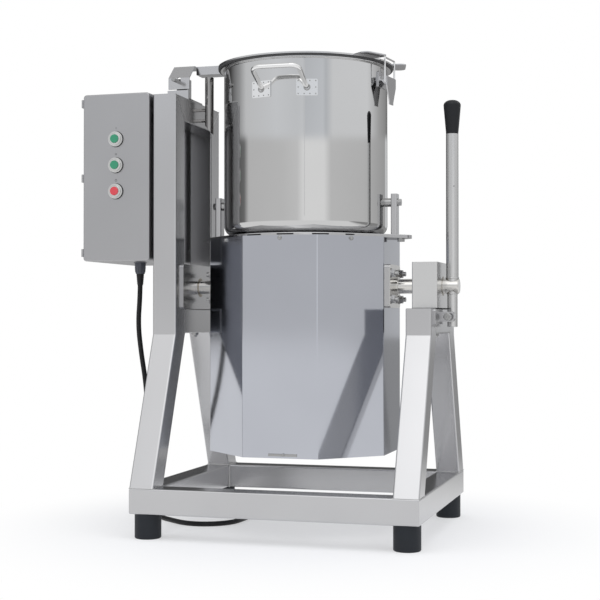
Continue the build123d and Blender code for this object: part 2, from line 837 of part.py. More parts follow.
# ---------------------------------------------------------------- lid and its hinge
def build_lid():
    """Flat round lid with a pressed step, its gasket, and two hand tabs on its edge."""
    with BuildPart() as lid:
        with BuildSketch(Plane.XY.offset(lid_bottom)):
            Circle(lid_diameter / 2)
        extrude(amount=lid_thickness)
        with BuildSketch(Plane.XY.offset(lid_top)):
            Circle(lid_diameter / 2 - 60)
        extrude(amount=-1.5, mode=Mode.SUBTRACT)
    save(lid.part, "lid")

    with BuildPart() as gasket:
        with BuildSketch(Plane.XY.offset(bowl_rim_height)):
            Circle(lid_diameter / 2 - 1)
            Circle(lid_diameter / 2 - 1 - gasket_width, mode=Mode.SUBTRACT)
        extrude(amount=gasket_thickness)
    save(gasket.part, "lid_gasket")

    edge = lid_diameter / 2
    round_end = tab_reach / 2
    half = tab_width / 2 - round_end
    with BuildPart() as tabs:
        for angle in tab_angles:
            with BuildSketch(Plane.XY.offset(lid_top)):
                with BuildSketch(mode=Mode.PRIVATE) as tab:
                    with Locations((edge + round_end, -half), (edge + round_end, half)):
                        Circle(round_end)
                    with Locations((edge - tab_reach, 0)):
                        Circle(tab_reach)
                add(make_hull(tab.edges(), mode=Mode.PRIVATE), rotation=angle)
            extrude(amount=tab_thickness)
    save(tabs.part, "lid_tabs")


def build_lid_arm():
    """Channel from the lid to the hinge, and the folded leaf that turns on the pin."""
    arm_left = hinge_x + leaf_width / 2
    arm_back = arm_front + arm_width
    arm_top = lid_top + arm_height - lid_thickness
    with BuildPart() as lid_arm:
        with BuildSketch(front_plane(arm_back)):
            with BuildLine():
                Polyline(
                    (arm_inner_end, lid_top),
                    (arm_inner_end, lid_top + 5),
                    (-lid_diameter / 2 + 20, arm_top),
                    (arm_left, arm_top),
                    (arm_left, lid_bottom),
                    (-lid_diameter / 2 - 1, lid_bottom),
                    (-lid_diameter / 2 - 1, lid_top),
                    close=True,
                )
            make_face()
        extrude(amount=arm_width)
        pin_line = arm_top - leaf_sheet
        with BuildSketch(front_plane(arm_back - leaf_sheet)):
            with Locations(((arm_inner_end + arm_left) / 2 - 20, (lid_top + pin_line) / 2 + 1)):
                Rectangle(arm_left - arm_inner_end - 30, pin_line - lid_top - 2)
        extrude(amount=arm_width - 2 * leaf_sheet, mode=Mode.SUBTRACT)
    save(lid_arm.part, "lid_arm")

    slot_top = hinge_pin_height + hinge_slot_rise
    slot_width = hinge_pin_diameter + 2 * hinge_clearance
    with BuildPart() as hinge_leaf:
        with BuildSketch(side_plane(hinge_x - leaf_width / 2)):
            with BuildLine():
                Polyline(
                    (arm_back, arm_top),
                    (arm_front - 12, arm_top),
                    (leaf_front, leaf_bottom + 30),
                    (leaf_front, leaf_bottom),
                    (leaf_front + leaf_sheet, leaf_bottom),
                    (leaf_front + leaf_sheet, leaf_bottom + 29),
                    (arm_front - 11, arm_top - leaf_sheet),
                    (arm_back, arm_top - leaf_sheet),
                    close=True,
                )
            make_face()
        extrude(amount=leaf_width)
        with BuildSketch(front_plane(pedestal_front)):
            with Locations((hinge_x, hinge_pin_height)):
                Circle(slot_width / 2)
            with Locations((hinge_x, slot_top)):
                Circle(slot_width / 2)
            with Locations((hinge_x, (hinge_pin_height + slot_top) / 2)):
                Rectangle(slot_width, hinge_slot_rise)
        extrude(amount=40, mode=Mode.SUBTRACT)
    save(hinge_leaf.part, "lid_hinge_leaf")


def build_hinge_bracket():
    """Folded bracket on the tall frame's top tube, with the pedestal that holds the pin."""
    guard_y = leaf_front - 2 * leaf_sheet
    with BuildPart() as hinge_bracket:
        with BuildSketch(side_plane(hinge_x - leaf_width / 2)):
            with BuildLine():
                Polyline(
                    (guard_y, goalpost_height),
                    (guard_y, goalpost_height + guard_height),
                    (guard_y + leaf_sheet, goalpost_height + guard_height),
                    (guard_y + leaf_sheet, goalpost_height + leaf_sheet),
                    (arm_front + arm_width, goalpost_height + leaf_sheet),
                    (arm_front + arm_width, goalpost_height),
                    close=True,
                )
            make_face()
        extrude(amount=leaf_width)
        with BuildSketch(Plane.XY.offset(goalpost_height + leaf_sheet)):
            with Locations((hinge_x, pedestal_front + pedestal_depth / 2)):
                Rectangle(pedestal_width, pedestal_depth)
        extrude(amount=hinge_pin_height + 12 - goalpost_height - leaf_sheet)
        with BuildSketch(front_plane(pedestal_front)):
            with Locations((hinge_x, hinge_pin_height)):
                Circle(hinge_pin_diameter / 2)
        extrude(amount=-pedestal_depth, mode=Mode.SUBTRACT)
    save(hinge_bracket.part, "lid_hinge_bracket")

    with BuildPart() as hinge_pin:
        with BuildSketch(front_plane(pedestal_front + pedestal_depth)):
            with Locations((hinge_x, hinge_pin_height)):
                Circle(hinge_pin_diameter / 2)
        extrude(amount=pedestal_front + pedestal_depth - hinge_pin_front)
        chamfer(hinge_pin.faces().sort_by(Axis.Y)[0].edges(), length=1)
    save(hinge_pin.part, "lid_hinge_pin")


def build_guard_tube():
    """Chrome tube under the lid's arm, cut at a slant below, on two spacers from the top tube."""
    wall = 2
    with BuildPart() as guard_tube:
        with BuildSketch(Plane.XY.offset(guard_tube_bottom)):
            with Locations((guard_tube_x, guard_tube_y)):
                Circle(guard_tube_diameter / 2)
                Circle(guard_tube_diameter / 2 - wall, mode=Mode.SUBTRACT)
        extrude(amount=guard_tube_top - guard_tube_bottom)
        slope = 2 * guard_tube_slant / guard_tube_diameter
        cut = (guard_tube_x, guard_tube_y, guard_tube_bottom + guard_tube_slant)
        slant = Plane(origin=cut, z_dir=(slope, 0, 1))
        split(bisect_by=slant, keep=Keep.TOP)
        spacer_length = guard_tube_x + frame_inner
        for height in (goalpost_height - tube * 0.3, goalpost_height - tube * 0.75):
            with BuildSketch(side_plane(-frame_inner)):
                with Locations((guard_tube_y, height)):
                    Circle(4.5)
            extrude(amount=spacer_length)
        bore = Cylinder(guard_tube_diameter / 2 - wall, 2 * guard_tube_top, mode=Mode.PRIVATE)
        add(Pos(guard_tube_x, guard_tube_y, 0) * bore, mode=Mode.SUBTRACT)
        with BuildSketch(Plane.XY.offset(guard_tube_top)):
            with Locations((guard_tube_x, guard_tube_y)):
                Circle(guard_tube_diameter / 2)
        extrude(amount=3)
    save(guard_tube.part, "lid_switch_tube")


build_motor()
build_spindle()
build_knife_stack()
build_lid()
build_lid_arm()
build_hinge_bracket()
build_guard_tube()


# ---------------------------------------------------------------- toggle latch
def latch_plane(offset):
    """Plane across the latch, at a distance along the wall: x outward, y up, normal back along it."""
    turn = math.radians(latch_angle)
    outward = Vector(math.cos(turn), math.sin(turn), 0)
    along = Vector(-math.sin(turn), math.cos(turn), 0)
    return Plane(origin=along * offset, x_dir=outward, z_dir=outward.cross(Vector(0, 0, 1)))


def build_latch_bracket():
    """Small bracket on the bowl's wall with two ears round the lever's pin."""
    pivot_reach = bowl_radius + latch_pivot_reach
    seat = latch_ear_sheet
    with BuildPart() as bracket:
        with BuildSketch(radial_plane(latch_angle, bowl_radius - seat, latch_pivot_height)):
            RectangleRounded(latch_ear_spacing, latch_bracket_height, latch_ear_sheet)
        extrude(amount=seat + latch_bracket_sheet)
        for side in (-1, 1):
            with BuildSketch(latch_plane(side * latch_ear_spacing / 2)):
                with Locations((pivot_reach, latch_pivot_height)):
                    Circle(latch_pin)
                with Locations((pivot_reach - latch_pivot_reach / 2, latch_pivot_height)):
                    Rectangle(latch_pivot_reach, 2 * latch_pin)
            extrude(amount=side * latch_ear_sheet)
        add(Cylinder(bowl_radius, 4 * bowl_rim_height, mode=Mode.PRIVATE), mode=Mode.SUBTRACT)
        with BuildSketch(latch_plane(0)):
            with Locations((pivot_reach, latch_pivot_height)):
                Circle(latch_pin / 2 + running_clearance)
        extrude(amount=latch_ear_spacing, both=True, mode=Mode.SUBTRACT)
    save(bracket.part, "latch_bracket")


def build_latch():
    """Folded lever on its pin, and the wire bail that holds the lid's edge."""
    pivot_reach = bowl_radius + latch_pivot_reach
    pivot = (pivot_reach, latch_pivot_height)
    bail_reach = lid_diameter / 2 + bail_gap + latch_wire / 2
    bail_pivot = (bail_reach, latch_pivot_height - bail_drop)
    cheek_inner = latch_ear_spacing / 2 + latch_side_gap
    cheek_outer = cheek_inner + latch_lever_sheet
    leg = cheek_outer + latch_side_gap + latch_wire / 2

    plate_reach = pivot_reach + latch_lever_offset
    with BuildPart() as lever:
        with BuildSketch(radial_plane(latch_angle, plate_reach, latch_pivot_height)):
            with BuildLine():
                Polyline(
                    (-cheek_outer, 5),
                    (cheek_outer, 5),
                    (cheek_outer, -18),
                    (latch_lever_tip / 2, 6 - latch_lever_length),
                    (latch_lever_tip / 2, -latch_lever_length),
                    (-latch_lever_tip / 2, -latch_lever_length),
                    (-latch_lever_tip / 2, 6 - latch_lever_length),
                    (-cheek_outer, -18),
                    close=True,
                )
            make_face()
        extrude(amount=latch_lever_sheet)
        for side in (-1, 1):
            with BuildSketch(latch_plane(side * cheek_outer)):
                with Locations(pivot):
                    Circle(latch_pin)
                with Locations(bail_pivot):
                    Circle(latch_pin)
                with Locations((plate_reach, latch_pivot_height - 8)):
                    Circle(3)
                make_hull()
            extrude(amount=side * latch_lever_sheet)
            with BuildSketch(latch_plane(side * cheek_outer)):
                with Locations(bail_pivot):
                    Circle(latch_wire / 2 + running_clearance)
            extrude(amount=side * latch_lever_sheet, mode=Mode.SUBTRACT)
        with BuildSketch(latch_plane(0)):
            with Locations(pivot):
                Circle(latch_pin / 2)
        extrude(amount=cheek_outer, both=True)
    save(lever.part, "right_latch_lever")

    turn = math.radians(latch_angle)
    outward = Vector(math.cos(turn), math.sin(turn), 0)
    along = Vector(-math.sin(turn), math.cos(turn), 0)
    foot = outward * bail_reach + Vector(0, 0, bail_pivot[1])
    top = outward * bail_reach + Vector(0, 0, bail_top - latch_wire / 2)
    points = [
        foot - along * cheek_inner,
        foot - along * leg,
        top - along * leg,
        top + along * leg,
        foot + along * leg,
        foot + along * cheek_inner,
    ]
    with BuildPart() as bail:
        with BuildLine() as route:
            FilletPolyline(*points, radius=latch_wire * 0.55)
        with BuildSketch(Plane(origin=route.line @ 0, z_dir=route.line % 0)):
            Circle(latch_wire / 2)
        sweep()
    save(bail.part, "right_latch_bail")


# ---------------------------------------------------------------- tilt lever and its stop
def build_tilt_lever():
    """Tube and short lower rod welded to the right trunnion's end, and the grip on the tube."""
    with BuildPart() as lever:
        with BuildSketch(Plane.XY.offset(trunnion_height)):
            with Locations((lever_x, 0)):
                Circle(lever_tube / 2)
        extrude(amount=lever_top - trunnion_height)
        with BuildSketch(Plane.XY.offset(lower_rod_bottom)):
            with Locations((lever_x, 0)):
                Circle(lower_rod_diameter / 2)
        extrude(amount=trunnion_height - trunnion_diameter / 4 - lower_rod_bottom)
        chamfer(lever.faces().sort_by(Axis.Z)[0].edges(), length=1.5)
        with BuildSketch(side_plane(half_width)):
            with Locations((0, trunnion_height)):
                Circle(trunnion_diameter / 2)
        extrude(amount=base_width, mode=Mode.SUBTRACT)
    save(lever.part, "tilt_lever")

    foot = grip_foot / 2
    widest = grip_diameter / 2
    grip_top = lever_top + grip_length
    with BuildPart() as grip:
        with BuildSketch(Plane.XZ):
            with BuildLine():
                Polyline(
                    (lever_x, grip_top),
                    (lever_x, lever_top),
                    (lever_x + foot, lever_top),
                    (lever_x + widest, grip_top - grip_dome),
                )
                Spline(
                    (lever_x + widest, grip_top - grip_dome),
                    (lever_x + widest * 0.72, grip_top - grip_dome * 0.24),
                    (lever_x, grip_top),
                    tangents=((0.1, 1), (-1, 0)),
                )
            make_face()
        revolve(axis=Axis((lever_x, 0, 0), (0, 0, 1)))
    save(grip.part, "lever_grip")


def build_stop():
    """Bracket on the right frame, with the sprung plunger that the lever's lower rod comes back to."""
    arm_y = -lower_rod_diameter / 2 - stop_arm_gap - stop_arm_thickness
    with BuildPart() as stop_bracket:
        with BuildSketch(side_plane(half_width)):
            with Locations((arm_y - stop_plate_length / 2 + stop_arm_thickness, stop_height)):
                RectangleRounded(stop_plate_length, stop_plate_height, 4)
        extrude(amount=stop_plate_thickness)
        with BuildSketch(front_plane(arm_y)):
            with Locations(((half_width + stop_arm_end) / 2, stop_height)):
                Rectangle(stop_arm_end - half_width, stop_arm_height)
        extrude(amount=-stop_arm_thickness)
        fillet(stop_bracket.edges().filter_by(Axis.Y).sort_by(Axis.X)[-2:], radius=8)
        with BuildSketch(front_plane(arm_y)):
            with Locations((lever_x, stop_height)):
                Circle(plunger_diameter / 2 + running_clearance)
        extrude(amount=-stop_arm_thickness, mode=Mode.SUBTRACT)
    save(stop_bracket.part, "lever_stop_bracket")

    tip = -lower_rod_diameter / 2 - stop_clearance
    with BuildPart() as plunger:
        with BuildSketch(front_plane(tip)):
            with Locations((lever_x, stop_height)):
                Circle(plunger_diameter / 2)
        extrude(amount=tip - arm_y + plunger_stand)
        with BuildSketch(front_plane(arm_y - plunger_stand)):
            with Locations((lever_x, stop_height)):
                Circle(plunger_knob / 2)
        extrude(amount=plunger_knob_length)
        knob = plunger.faces().sort_by(Axis.Y)[0]
        chamfer(knob.edges(), length=2)
    save(plunger.part, "stop_plunger")


# ---------------------------------------------------------------- control box
def build_control_box():
    """Sheet box outside the tall frame, open at the front, with a hole for the gland."""
    with BuildPart() as control_box:
        with BuildSketch(front_plane(box_back)):
            with Locations((box_middle, box_bottom + box_height / 2)):
                RectangleRounded(box_width, box_height, box_corner)
        extrude(amount=box_depth)
        with BuildSketch(front_plane(box_back - box_sheet)):
            with Locations((box_middle, box_bottom + box_height / 2)):
                inner_corner = box_corner - box_sheet
                RectangleRounded(box_width - 2 * box_sheet, box_height - 2 * box_sheet, inner_corner)
        extrude(amount=box_depth, mode=Mode.SUBTRACT)
        with BuildSketch(Plane.XY.offset(box_bottom)):
            with Locations((gland_x, gland_y)):
                Circle(gland_thread / 2 + 0.3)
        extrude(amount=3 * box_sheet, mode=Mode.SUBTRACT)
        with BuildSketch(side_plane(box_right)):
            with Locations(*box_fixings()):
                Circle(box_bolt / 2 + 0.2)
        extrude(amount=-3 * box_sheet, mode=Mode.SUBTRACT)
    save(control_box.part, "control_box")

    with BuildPart() as fixings:
        with BuildSketch(side_plane(-half_width)):
            with Locations(*box_fixings()):
                Circle(box_bolt)
        extrude(amount=-box_standoff)
        with BuildSketch(side_plane(box_right)):
            with Locations(*box_fixings()):
                Circle(box_bolt / 2)
        extrude(amount=-box_sheet)
        with BuildSketch(side_plane(box_right - box_sheet)):
            with Locations(*box_fixings()):
                RegularPolygon(box_bolt * 0.9, 6)
        extrude(amount=-box_bolt * 0.7)
    save(fixings.part, "box_spacers")


def box_fixings():
    """Places (Y, Z) of the bolts that hold the box to both posts of the tall frame."""
    bolt_y = post_inner + tube * 0.3
    inset = 40
    places = []
    for y in (-bolt_y, bolt_y):
        for z in (box_bottom + inset, box_top - inset):
            places.append((y, z))
    return places


def build_box_inside():
    """Back plate with two rails, and on them two contactors and a terminal row."""
    plate_back = box_back - box_sheet - 12
    with BuildPart() as back_plate:
        with BuildSketch(front_plane(plate_back)):
            with Locations((box_middle, box_bottom + box_height / 2)):
                RectangleRounded(box_width - 34, box_height - 50, 4)
        extrude(amount=2)
        with BuildSketch(front_plane(plate_back)):
            with Locations((box_middle, box_bottom + box_height / 2)):
                with GridLocations(box_width - 54, box_height - 70, 2, 2):
                    Circle(5)
        extrude(amount=-12)
        rail_front = plate_back - 2
        for height in (box_bottom + box_height * 0.38, box_bottom + box_height * 0.72):
            with BuildSketch(front_plane(rail_front)):
                with Locations((box_middle, height)):
                    Rectangle(box_width - 44, rail_height)
                    Rectangle(box_width - 44, 25, mode=Mode.SUBTRACT)
            extrude(amount=rail_depth)
            with BuildSketch(front_plane(rail_front)):
                with Locations((box_middle, height)):
                    Rectangle(box_width - 44, 25)
            extrude(amount=1)
    save(back_plate.part, "box_back_plate")

    device_back = rail_front - rail_depth
    with BuildPart() as switchgear:
        for x in (box_middle - contactor_pitch / 2, box_middle + contactor_pitch / 2):
            with BuildSketch(front_plane(device_back)):
                with Locations((x, box_bottom + box_height * 0.72)):
                    Rectangle(contactor_width, contactor_height)
            extrude(amount=contactor_depth)
            with BuildSketch(front_plane(device_back - contactor_depth)):
                with Locations((x, box_bottom + box_height * 0.72)):
                    Rectangle(contactor_nose_width, contactor_nose_height)
            extrude(amount=contactor_nose_depth)
        with BuildSketch(front_plane(device_back)):
            with Locations((box_middle, box_bottom + box_height * 0.38)):
                Rectangle(box_width - terminal_margin, terminal_height)
        extrude(amount=terminal_depth)
        with BuildSketch(front_plane(device_back - terminal_depth)):
            with Locations((box_middle, box_bottom + box_height * 0.38)):
                with GridLocations((box_width - terminal_margin) / 8, terminal_rows, 8, 2):
                    Circle(3.5)
        extrude(amount=-5, mode=Mode.SUBTRACT)
    save(switchgear.part, "switchgear")


def hinge_heights():
    """Heights of the door's three hinges."""
    return (box_bottom + 22, box_bottom + box_height / 2, box_top - 22)


def build_door():
    """Door pan on three knuckle hinges, with holes for the three buttons."""
    rear = box_front - door_gap
    hinge_axis_x = box_left - hinge_gap - hinge_knuckle_diameter / 2
    hinge_axis_y = rear - door_thickness / 2
    half = hinge_knuckle_length / 2
    with BuildPart() as door:
        with BuildSketch(front_plane(rear)):
            with Locations((box_middle, box_bottom + box_height / 2)):
                RectangleRounded(box_width, box_height, box_corner)
        extrude(amount=door_thickness)
        front_rim = door.faces().sort_by(Axis.Y)[0].edges()
        fillet(front_rim, radius=2.5)
        with BuildSketch(front_plane(rear)):
            with Locations((box_middle, box_bottom + box_height / 2)):
                inner = box_sheet * 2 + 3
                RectangleRounded(box_width - 2 * inner, box_height - 2 * inner, box_corner - 3)
        extrude(amount=door_thickness - door_sheet, mode=Mode.SUBTRACT)
        for height in button_heights():
            with BuildSketch(front_plane(rear)):
                with Locations((box_middle, height)):
                    Circle(button_hole / 2)
            extrude(amount=door_thickness + 1, mode=Mode.SUBTRACT)
        for height in hinge_heights():
            with BuildSketch(Plane.XY.offset(height + 0.3)):
                with Locations((hinge_axis_x, hinge_axis_y)):
                    Circle(hinge_knuckle_diameter / 2)
                    Circle(hinge_rod / 2 + running_clearance, mode=Mode.SUBTRACT)
                with Locations((box_left, hinge_axis_y)):
                    Rectangle(2, 6)
            extrude(amount=half)
    save(door.part, "control_box_door")

    with BuildPart() as hinges:
        for height in hinge_heights():
            with BuildSketch(Plane.XY.offset(height - half)):
                with Locations((hinge_axis_x, hinge_axis_y)):
                    Circle(hinge_knuckle_diameter / 2)
                with Locations((hinge_axis_x - hinge_knuckle_diameter / 2 + 1, (hinge_axis_y + box_front + 14) / 2)):
                    Rectangle(2, box_front + 14 - hinge_axis_y)
                with Locations(((hinge_axis_x - hinge_knuckle_diameter / 2 + box_left) / 2, box_front + 13)):
                    Rectangle(box_left - hinge_axis_x + hinge_knuckle_diameter / 2, 2)
            extrude(amount=half)
            with BuildSketch(Plane.XY.offset(height)):
                with Locations((hinge_axis_x, hinge_axis_y)):
                    Circle(hinge_rod / 2)
            extrude(amount=half)
    save(hinges.part, "door_hinge_leaves")


def button_heights():
    """Heights of the three push buttons, from the top down."""
    first = box_top - button_first_drop
    return [first - step * button_pitch for step in range(3)]


def build_buttons():
    """Bezel with its collar round each button, contact blocks behind, and the three caps."""
    bore = button_diameter / 2 + button_clearance
    face = door_front - door_gap
    with BuildPart() as bezels:
        for height in button_heights():
            with BuildSketch(front_plane(face)):
                with Locations((box_middle, height)):
                    Circle(collar_diameter / 2)
                    Circle(bore, mode=Mode.SUBTRACT)
            extrude(amount=collar_thickness)
            with BuildSketch(front_plane(face - collar_thickness)):
                with Locations((box_middle, height)):
                    Circle(bezel_diameter / 2)
                    Circle(bore, mode=Mode.SUBTRACT)
            extrude(amount=bezel_height)
        rims = bezels.edges().filter_by(GeomType.CIRCLE).group_by(Axis.Y)[0]
        outer_rims = rims.filter_by(lambda edge: edge.radius > bore + 1)
        chamfer(outer_rims, length=1.2)
    save(bezels.part, "button_bezels")

    block_front = face + door_thickness
    with BuildPart() as blocks:
        for height in button_heights():
            with BuildSketch(front_plane(block_front + contact_block_depth)):
                with Locations((box_middle, height)):
                    Rectangle(contact_block_width, contact_block_width)
            extrude(amount=contact_block_depth)
            with BuildSketch(front_plane(block_front)):
                with Locations((box_middle, height)):
                    Circle(contact_block_width / 2)
            extrude(amount=door_thickness - door_sheet)
            with BuildSketch(front_plane(block_front)):
                with Locations((box_middle, height)):
                    Circle(bore)
            extrude(amount=door_thickness, mode=Mode.SUBTRACT)
    save(blocks.part, "button_contact_blocks")

    cap_rear = face + button_depth
    cap_front = face - collar_thickness - bezel_height - button_stand
    for label, height in zip(("slow_button", "fast_button", "stop_button"), button_heights()):
        with BuildPart() as cap:
            with BuildSketch(front_plane(cap_rear)):
                with Locations((box_middle, height)):
                    Circle(button_diameter / 2)
            extrude(amount=cap_rear - cap_front)
            fillet(cap.faces().sort_by(Axis.Y)[0].edges(), radius=1)
        save(cap.part, label)


# ---------------------------------------------------------------- mains lead
def build_gland():
    """Screwed cable gland in the box's floor."""
    with BuildPart() as gland:
        with BuildSketch(Plane.XY.offset(box_bottom)):
            with Locations((gland_x, gland_y)):
                RegularPolygon(gland_diameter / 2 + 2, 6)
        extrude(amount=-10)
        with BuildSketch(Plane.XY.offset(box_bottom - 10)):
            with Locations((gland_x, gland_y)):
                Circle(gland_diameter / 2)
        extrude(amount=-gland_length + 10, taper=6)
        with BuildSketch(Plane.XY.offset(box_bottom)):
            with Locations((gland_x, gland_y)):
                Circle(gland_thread / 2)
        extrude(amount=box_sheet + 8)
        with BuildSketch(Plane.XY.offset(box_bottom + box_sheet)):
            with Locations((gland_x, gland_y)):
                RegularPolygon(gland_diameter / 2 + 1, 6)
        extrude(amount=5)
    save(gland.part, "cable_gland")


def cord_route():
    """Corner points of the lead's middle line, from the gland to where its coil begins."""
    turn = math.radians(coil_start)
    coil_entry = (
        coil_middle[0] + coil_radius * math.cos(turn),
        coil_middle[1] + coil_radius * math.sin(turn),
        cord_radius,
    )
    return [
        (gland_x, gland_y, box_bottom - gland_length),
        (gland_x, gland_y, 606),
        (-447, -61, 528),
        (-439, -58, 450),
        (-429, -50, 372),
        (-432, -30, 288),
        (-447, -2, 210),
        (-463, 26, 150),
        (-472, 40, 100),
        (-466, 38, 54),
        (-443, 25, 22),
        (-408, 5, cord_radius),
        (-362, -33, cord_radius),
        (-312, -71, cord_radius),
        (-264, -78, cord_radius),
        (-220, -58, cord_radius),
        (-192, -19, cord_radius),
        (-186, 30, cord_radius),
        (-184, 102, cord_radius),
        coil_entry,
    ]


def bend_radii(points):
    """Largest bend at each corner: 0.45 of the shorter run over the tangent of half the turn."""
    radii = []
    for before, here, after in zip(points, points[1:], points[2:]):
        run_in = Vector(here) - Vector(before)
        run_out = Vector(after) - Vector(here)
        half_turn = math.radians(run_in.get_angle(run_out)) / 2
        radii.append(0.45 * min(run_in.length, run_out.length) / math.tan(half_turn))
    return radii


def build_cord():
    """Mains lead down to the floor, its coil under the base and the plain plug."""
    points = cord_route()
    radii = bend_radii(points)
    print("cord bend radii:", [round(radius) for radius in radii])
    leave = math.radians(coil_start + coil_turn)
    leave_point = Vector(
        coil_middle[0] + coil_radius * math.cos(leave),
        coil_middle[1] + coil_radius * math.sin(leave),
        tail_height,
    )
    heading = Vector(-math.sin(leave), math.cos(leave), 0)
    with BuildPart() as cord:
        with BuildLine() as route:
            FilletPolyline(*points, radius=radii)
        with BuildSketch(Plane(origin=route.line @ 0, z_dir=route.line % 0)):
            Circle(cord_radius)
        sweep()
        length = sum(edge.length for edge in route.edges())
        print("cord length:", round(length), "volume over length:", round(cord.part.volume / length, 2))
        with BuildSketch(Plane(origin=leave_point, z_dir=heading)):
            Circle(cord_radius)
        extrude(amount=tail_length)
    save(cord.part, "mains_cord")

    with BuildPart() as coil:
        with BuildSketch(Plane.XY):
            with Locations(coil_middle):
                Circle(coil_radius + cord_radius)
                Circle(coil_radius - cord_radius, mode=Mode.SUBTRACT)
        extrude(amount=2 * cord_diameter)
        fillet(coil.edges().filter_by(GeomType.CIRCLE), radius=cord_radius * 0.6)
    save(coil.part, "cord_coil")

    plug_start = leave_point + heading * tail_length
    with BuildPart() as plug:
        with BuildSketch(Plane(origin=plug_start, z_dir=heading)):
            Circle(cord_radius + 4)
        extrude(amount=14, taper=-12)
        with BuildSketch(Plane(origin=plug_start + heading * 14, z_dir=heading)):
            Circle(plug_diameter / 2)
        extrude(amount=plug_length - 14)
        pins = Plane(origin=plug_start + heading * plug_length, z_dir=heading)
        with BuildSketch(pins):
            with PolarLocations(plug_diameter * 0.26, 4):
                Circle(2.5)
        extrude(amount=20)
    save(plug.part, "mains_plug")


build_latch_bracket()
build_latch()
build_tilt_lever()
build_stop()
build_control_box()
build_box_inside()
build_door()
build_buttons()
build_gland()
build_cord()
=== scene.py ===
import math

import bmesh
import bpy
from bpy.props import FloatProperty, FloatVectorProperty, PointerProperty
from mathutils import Matrix, Vector


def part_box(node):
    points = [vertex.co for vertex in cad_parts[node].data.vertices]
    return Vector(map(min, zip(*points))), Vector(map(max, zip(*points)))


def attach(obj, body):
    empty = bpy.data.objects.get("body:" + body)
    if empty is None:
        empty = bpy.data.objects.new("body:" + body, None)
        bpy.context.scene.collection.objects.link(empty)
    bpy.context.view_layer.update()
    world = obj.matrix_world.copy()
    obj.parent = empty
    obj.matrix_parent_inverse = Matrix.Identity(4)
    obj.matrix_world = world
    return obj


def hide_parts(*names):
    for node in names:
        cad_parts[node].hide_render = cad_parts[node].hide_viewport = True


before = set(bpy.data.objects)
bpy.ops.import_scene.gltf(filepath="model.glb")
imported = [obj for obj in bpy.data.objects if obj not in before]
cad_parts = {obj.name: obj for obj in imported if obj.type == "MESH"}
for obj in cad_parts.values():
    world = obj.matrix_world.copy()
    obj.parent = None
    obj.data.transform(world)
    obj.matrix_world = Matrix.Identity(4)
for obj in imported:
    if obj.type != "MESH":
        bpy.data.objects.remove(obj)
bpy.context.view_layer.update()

bl_info = {
    "name": "Tilting bowl cutter finish",
    "version": (1, 0, 0),
    "blender": (4, 5, 0),
    "location": "View3D > Sidebar > Bowl Cutter",
    "description": "Steel finishes, welds, screws, mains cord and studio of a tilting bowl cutter",
    "category": "Object",
}

MM = 0.001


# ---------------------------------------------------------------- sizes and colours
class CutterSizes(bpy.types.PropertyGroup):
    """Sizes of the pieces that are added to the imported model."""

    cord_diameter: FloatProperty(
        name="Cord diameter", description="Outer diameter of the mains cord",
        default=13.0 * MM, min=0.004, unit="LENGTH")
    coil_radius: FloatProperty(
        name="Coil radius", description="Middle radius of the cord's coil",
        default=71.5 * MM, min=0.03, unit="LENGTH")
    weld_width: FloatProperty(
        name="Weld width", description="Width of the fillet welds of the frame",
        default=5.0 * MM, min=0.001, unit="LENGTH")
    weld_height: FloatProperty(
        name="Weld height", description="Height of the fillet welds of the frame",
        default=1.6 * MM, min=0.0002, unit="LENGTH")
    spot_weld: FloatProperty(
        name="Spot weld", description="Diameter of a spot weld on the handle plates",
        default=3.6 * MM, min=0.001, unit="LENGTH")
    screw_head: FloatProperty(
        name="Screw head", description="Diameter of the small screws round the casing",
        default=9.0 * MM, min=0.002, unit="LENGTH")
    sleeve_length: FloatProperty(
        name="Sleeve length", description="Length of the tapered sleeve where the cord leaves its gland",
        default=30.0 * MM, min=0.02, max=0.06, unit="LENGTH")


class CutterColours(bpy.types.PropertyGroup):
    """Colours of the finishes."""

    frame_steel: FloatVectorProperty(
        name="Frame steel", description="Ground square tube and brackets",
        subtype="COLOR", size=3, default=(0.50, 0.50, 0.51), min=0, max=1)
    box_steel: FloatVectorProperty(
        name="Box steel", description="Satin sheet of the control box",
        subtype="COLOR", size=3, default=(0.41, 0.41, 0.42), min=0, max=1)
    casing_steel: FloatVectorProperty(
        name="Casing steel", description="Bright sheet of the motor casing",
        subtype="COLOR", size=3, default=(0.475, 0.49, 0.535), min=0, max=1)
    bowl_steel: FloatVectorProperty(
        name="Bowl steel", description="Polished bowl and lid",
        subtype="COLOR", size=3, default=(0.57, 0.57, 0.57), min=0, max=1)
    green: FloatVectorProperty(
        name="Green button", description="Caps of the two running buttons",
        subtype="COLOR", size=3, default=(0.035, 0.27, 0.15), min=0, max=1)
    red: FloatVectorProperty(
        name="Red button", description="Cap of the stop button",
        subtype="COLOR", size=3, default=(0.70, 0.07, 0.09), min=0, max=1)
    grip: FloatVectorProperty(
        name="Grip", description="Plastic grip of the tilt lever",
        subtype="COLOR", size=3, default=(0.006, 0.007, 0.009), min=0, max=1)
    rubber: FloatVectorProperty(
        name="Rubber", description="Feet of the base",
        subtype="COLOR", size=3, default=(0.010, 0.013, 0.018), min=0, max=1)


def sizes():
    """The scene's sizes."""
    return bpy.context.scene.cutter_sizes


def colours():
    """The scene's colours."""
    return bpy.context.scene.cutter_colours


# ---------------------------------------------------------------- finishes
GRAIN_DEPTH = 0.3 * MM


def start_material(name):
    """New node material: the material, its node tree, its shader and its Object coordinates."""
    material = bpy.data.materials.new(name)
    material.use_nodes = True
    tree = material.node_tree
    shader = tree.nodes["Principled BSDF"]
    coordinates = tree.nodes.new("ShaderNodeTexCoord")
    return material, tree, shader, coordinates.outputs["Object"]


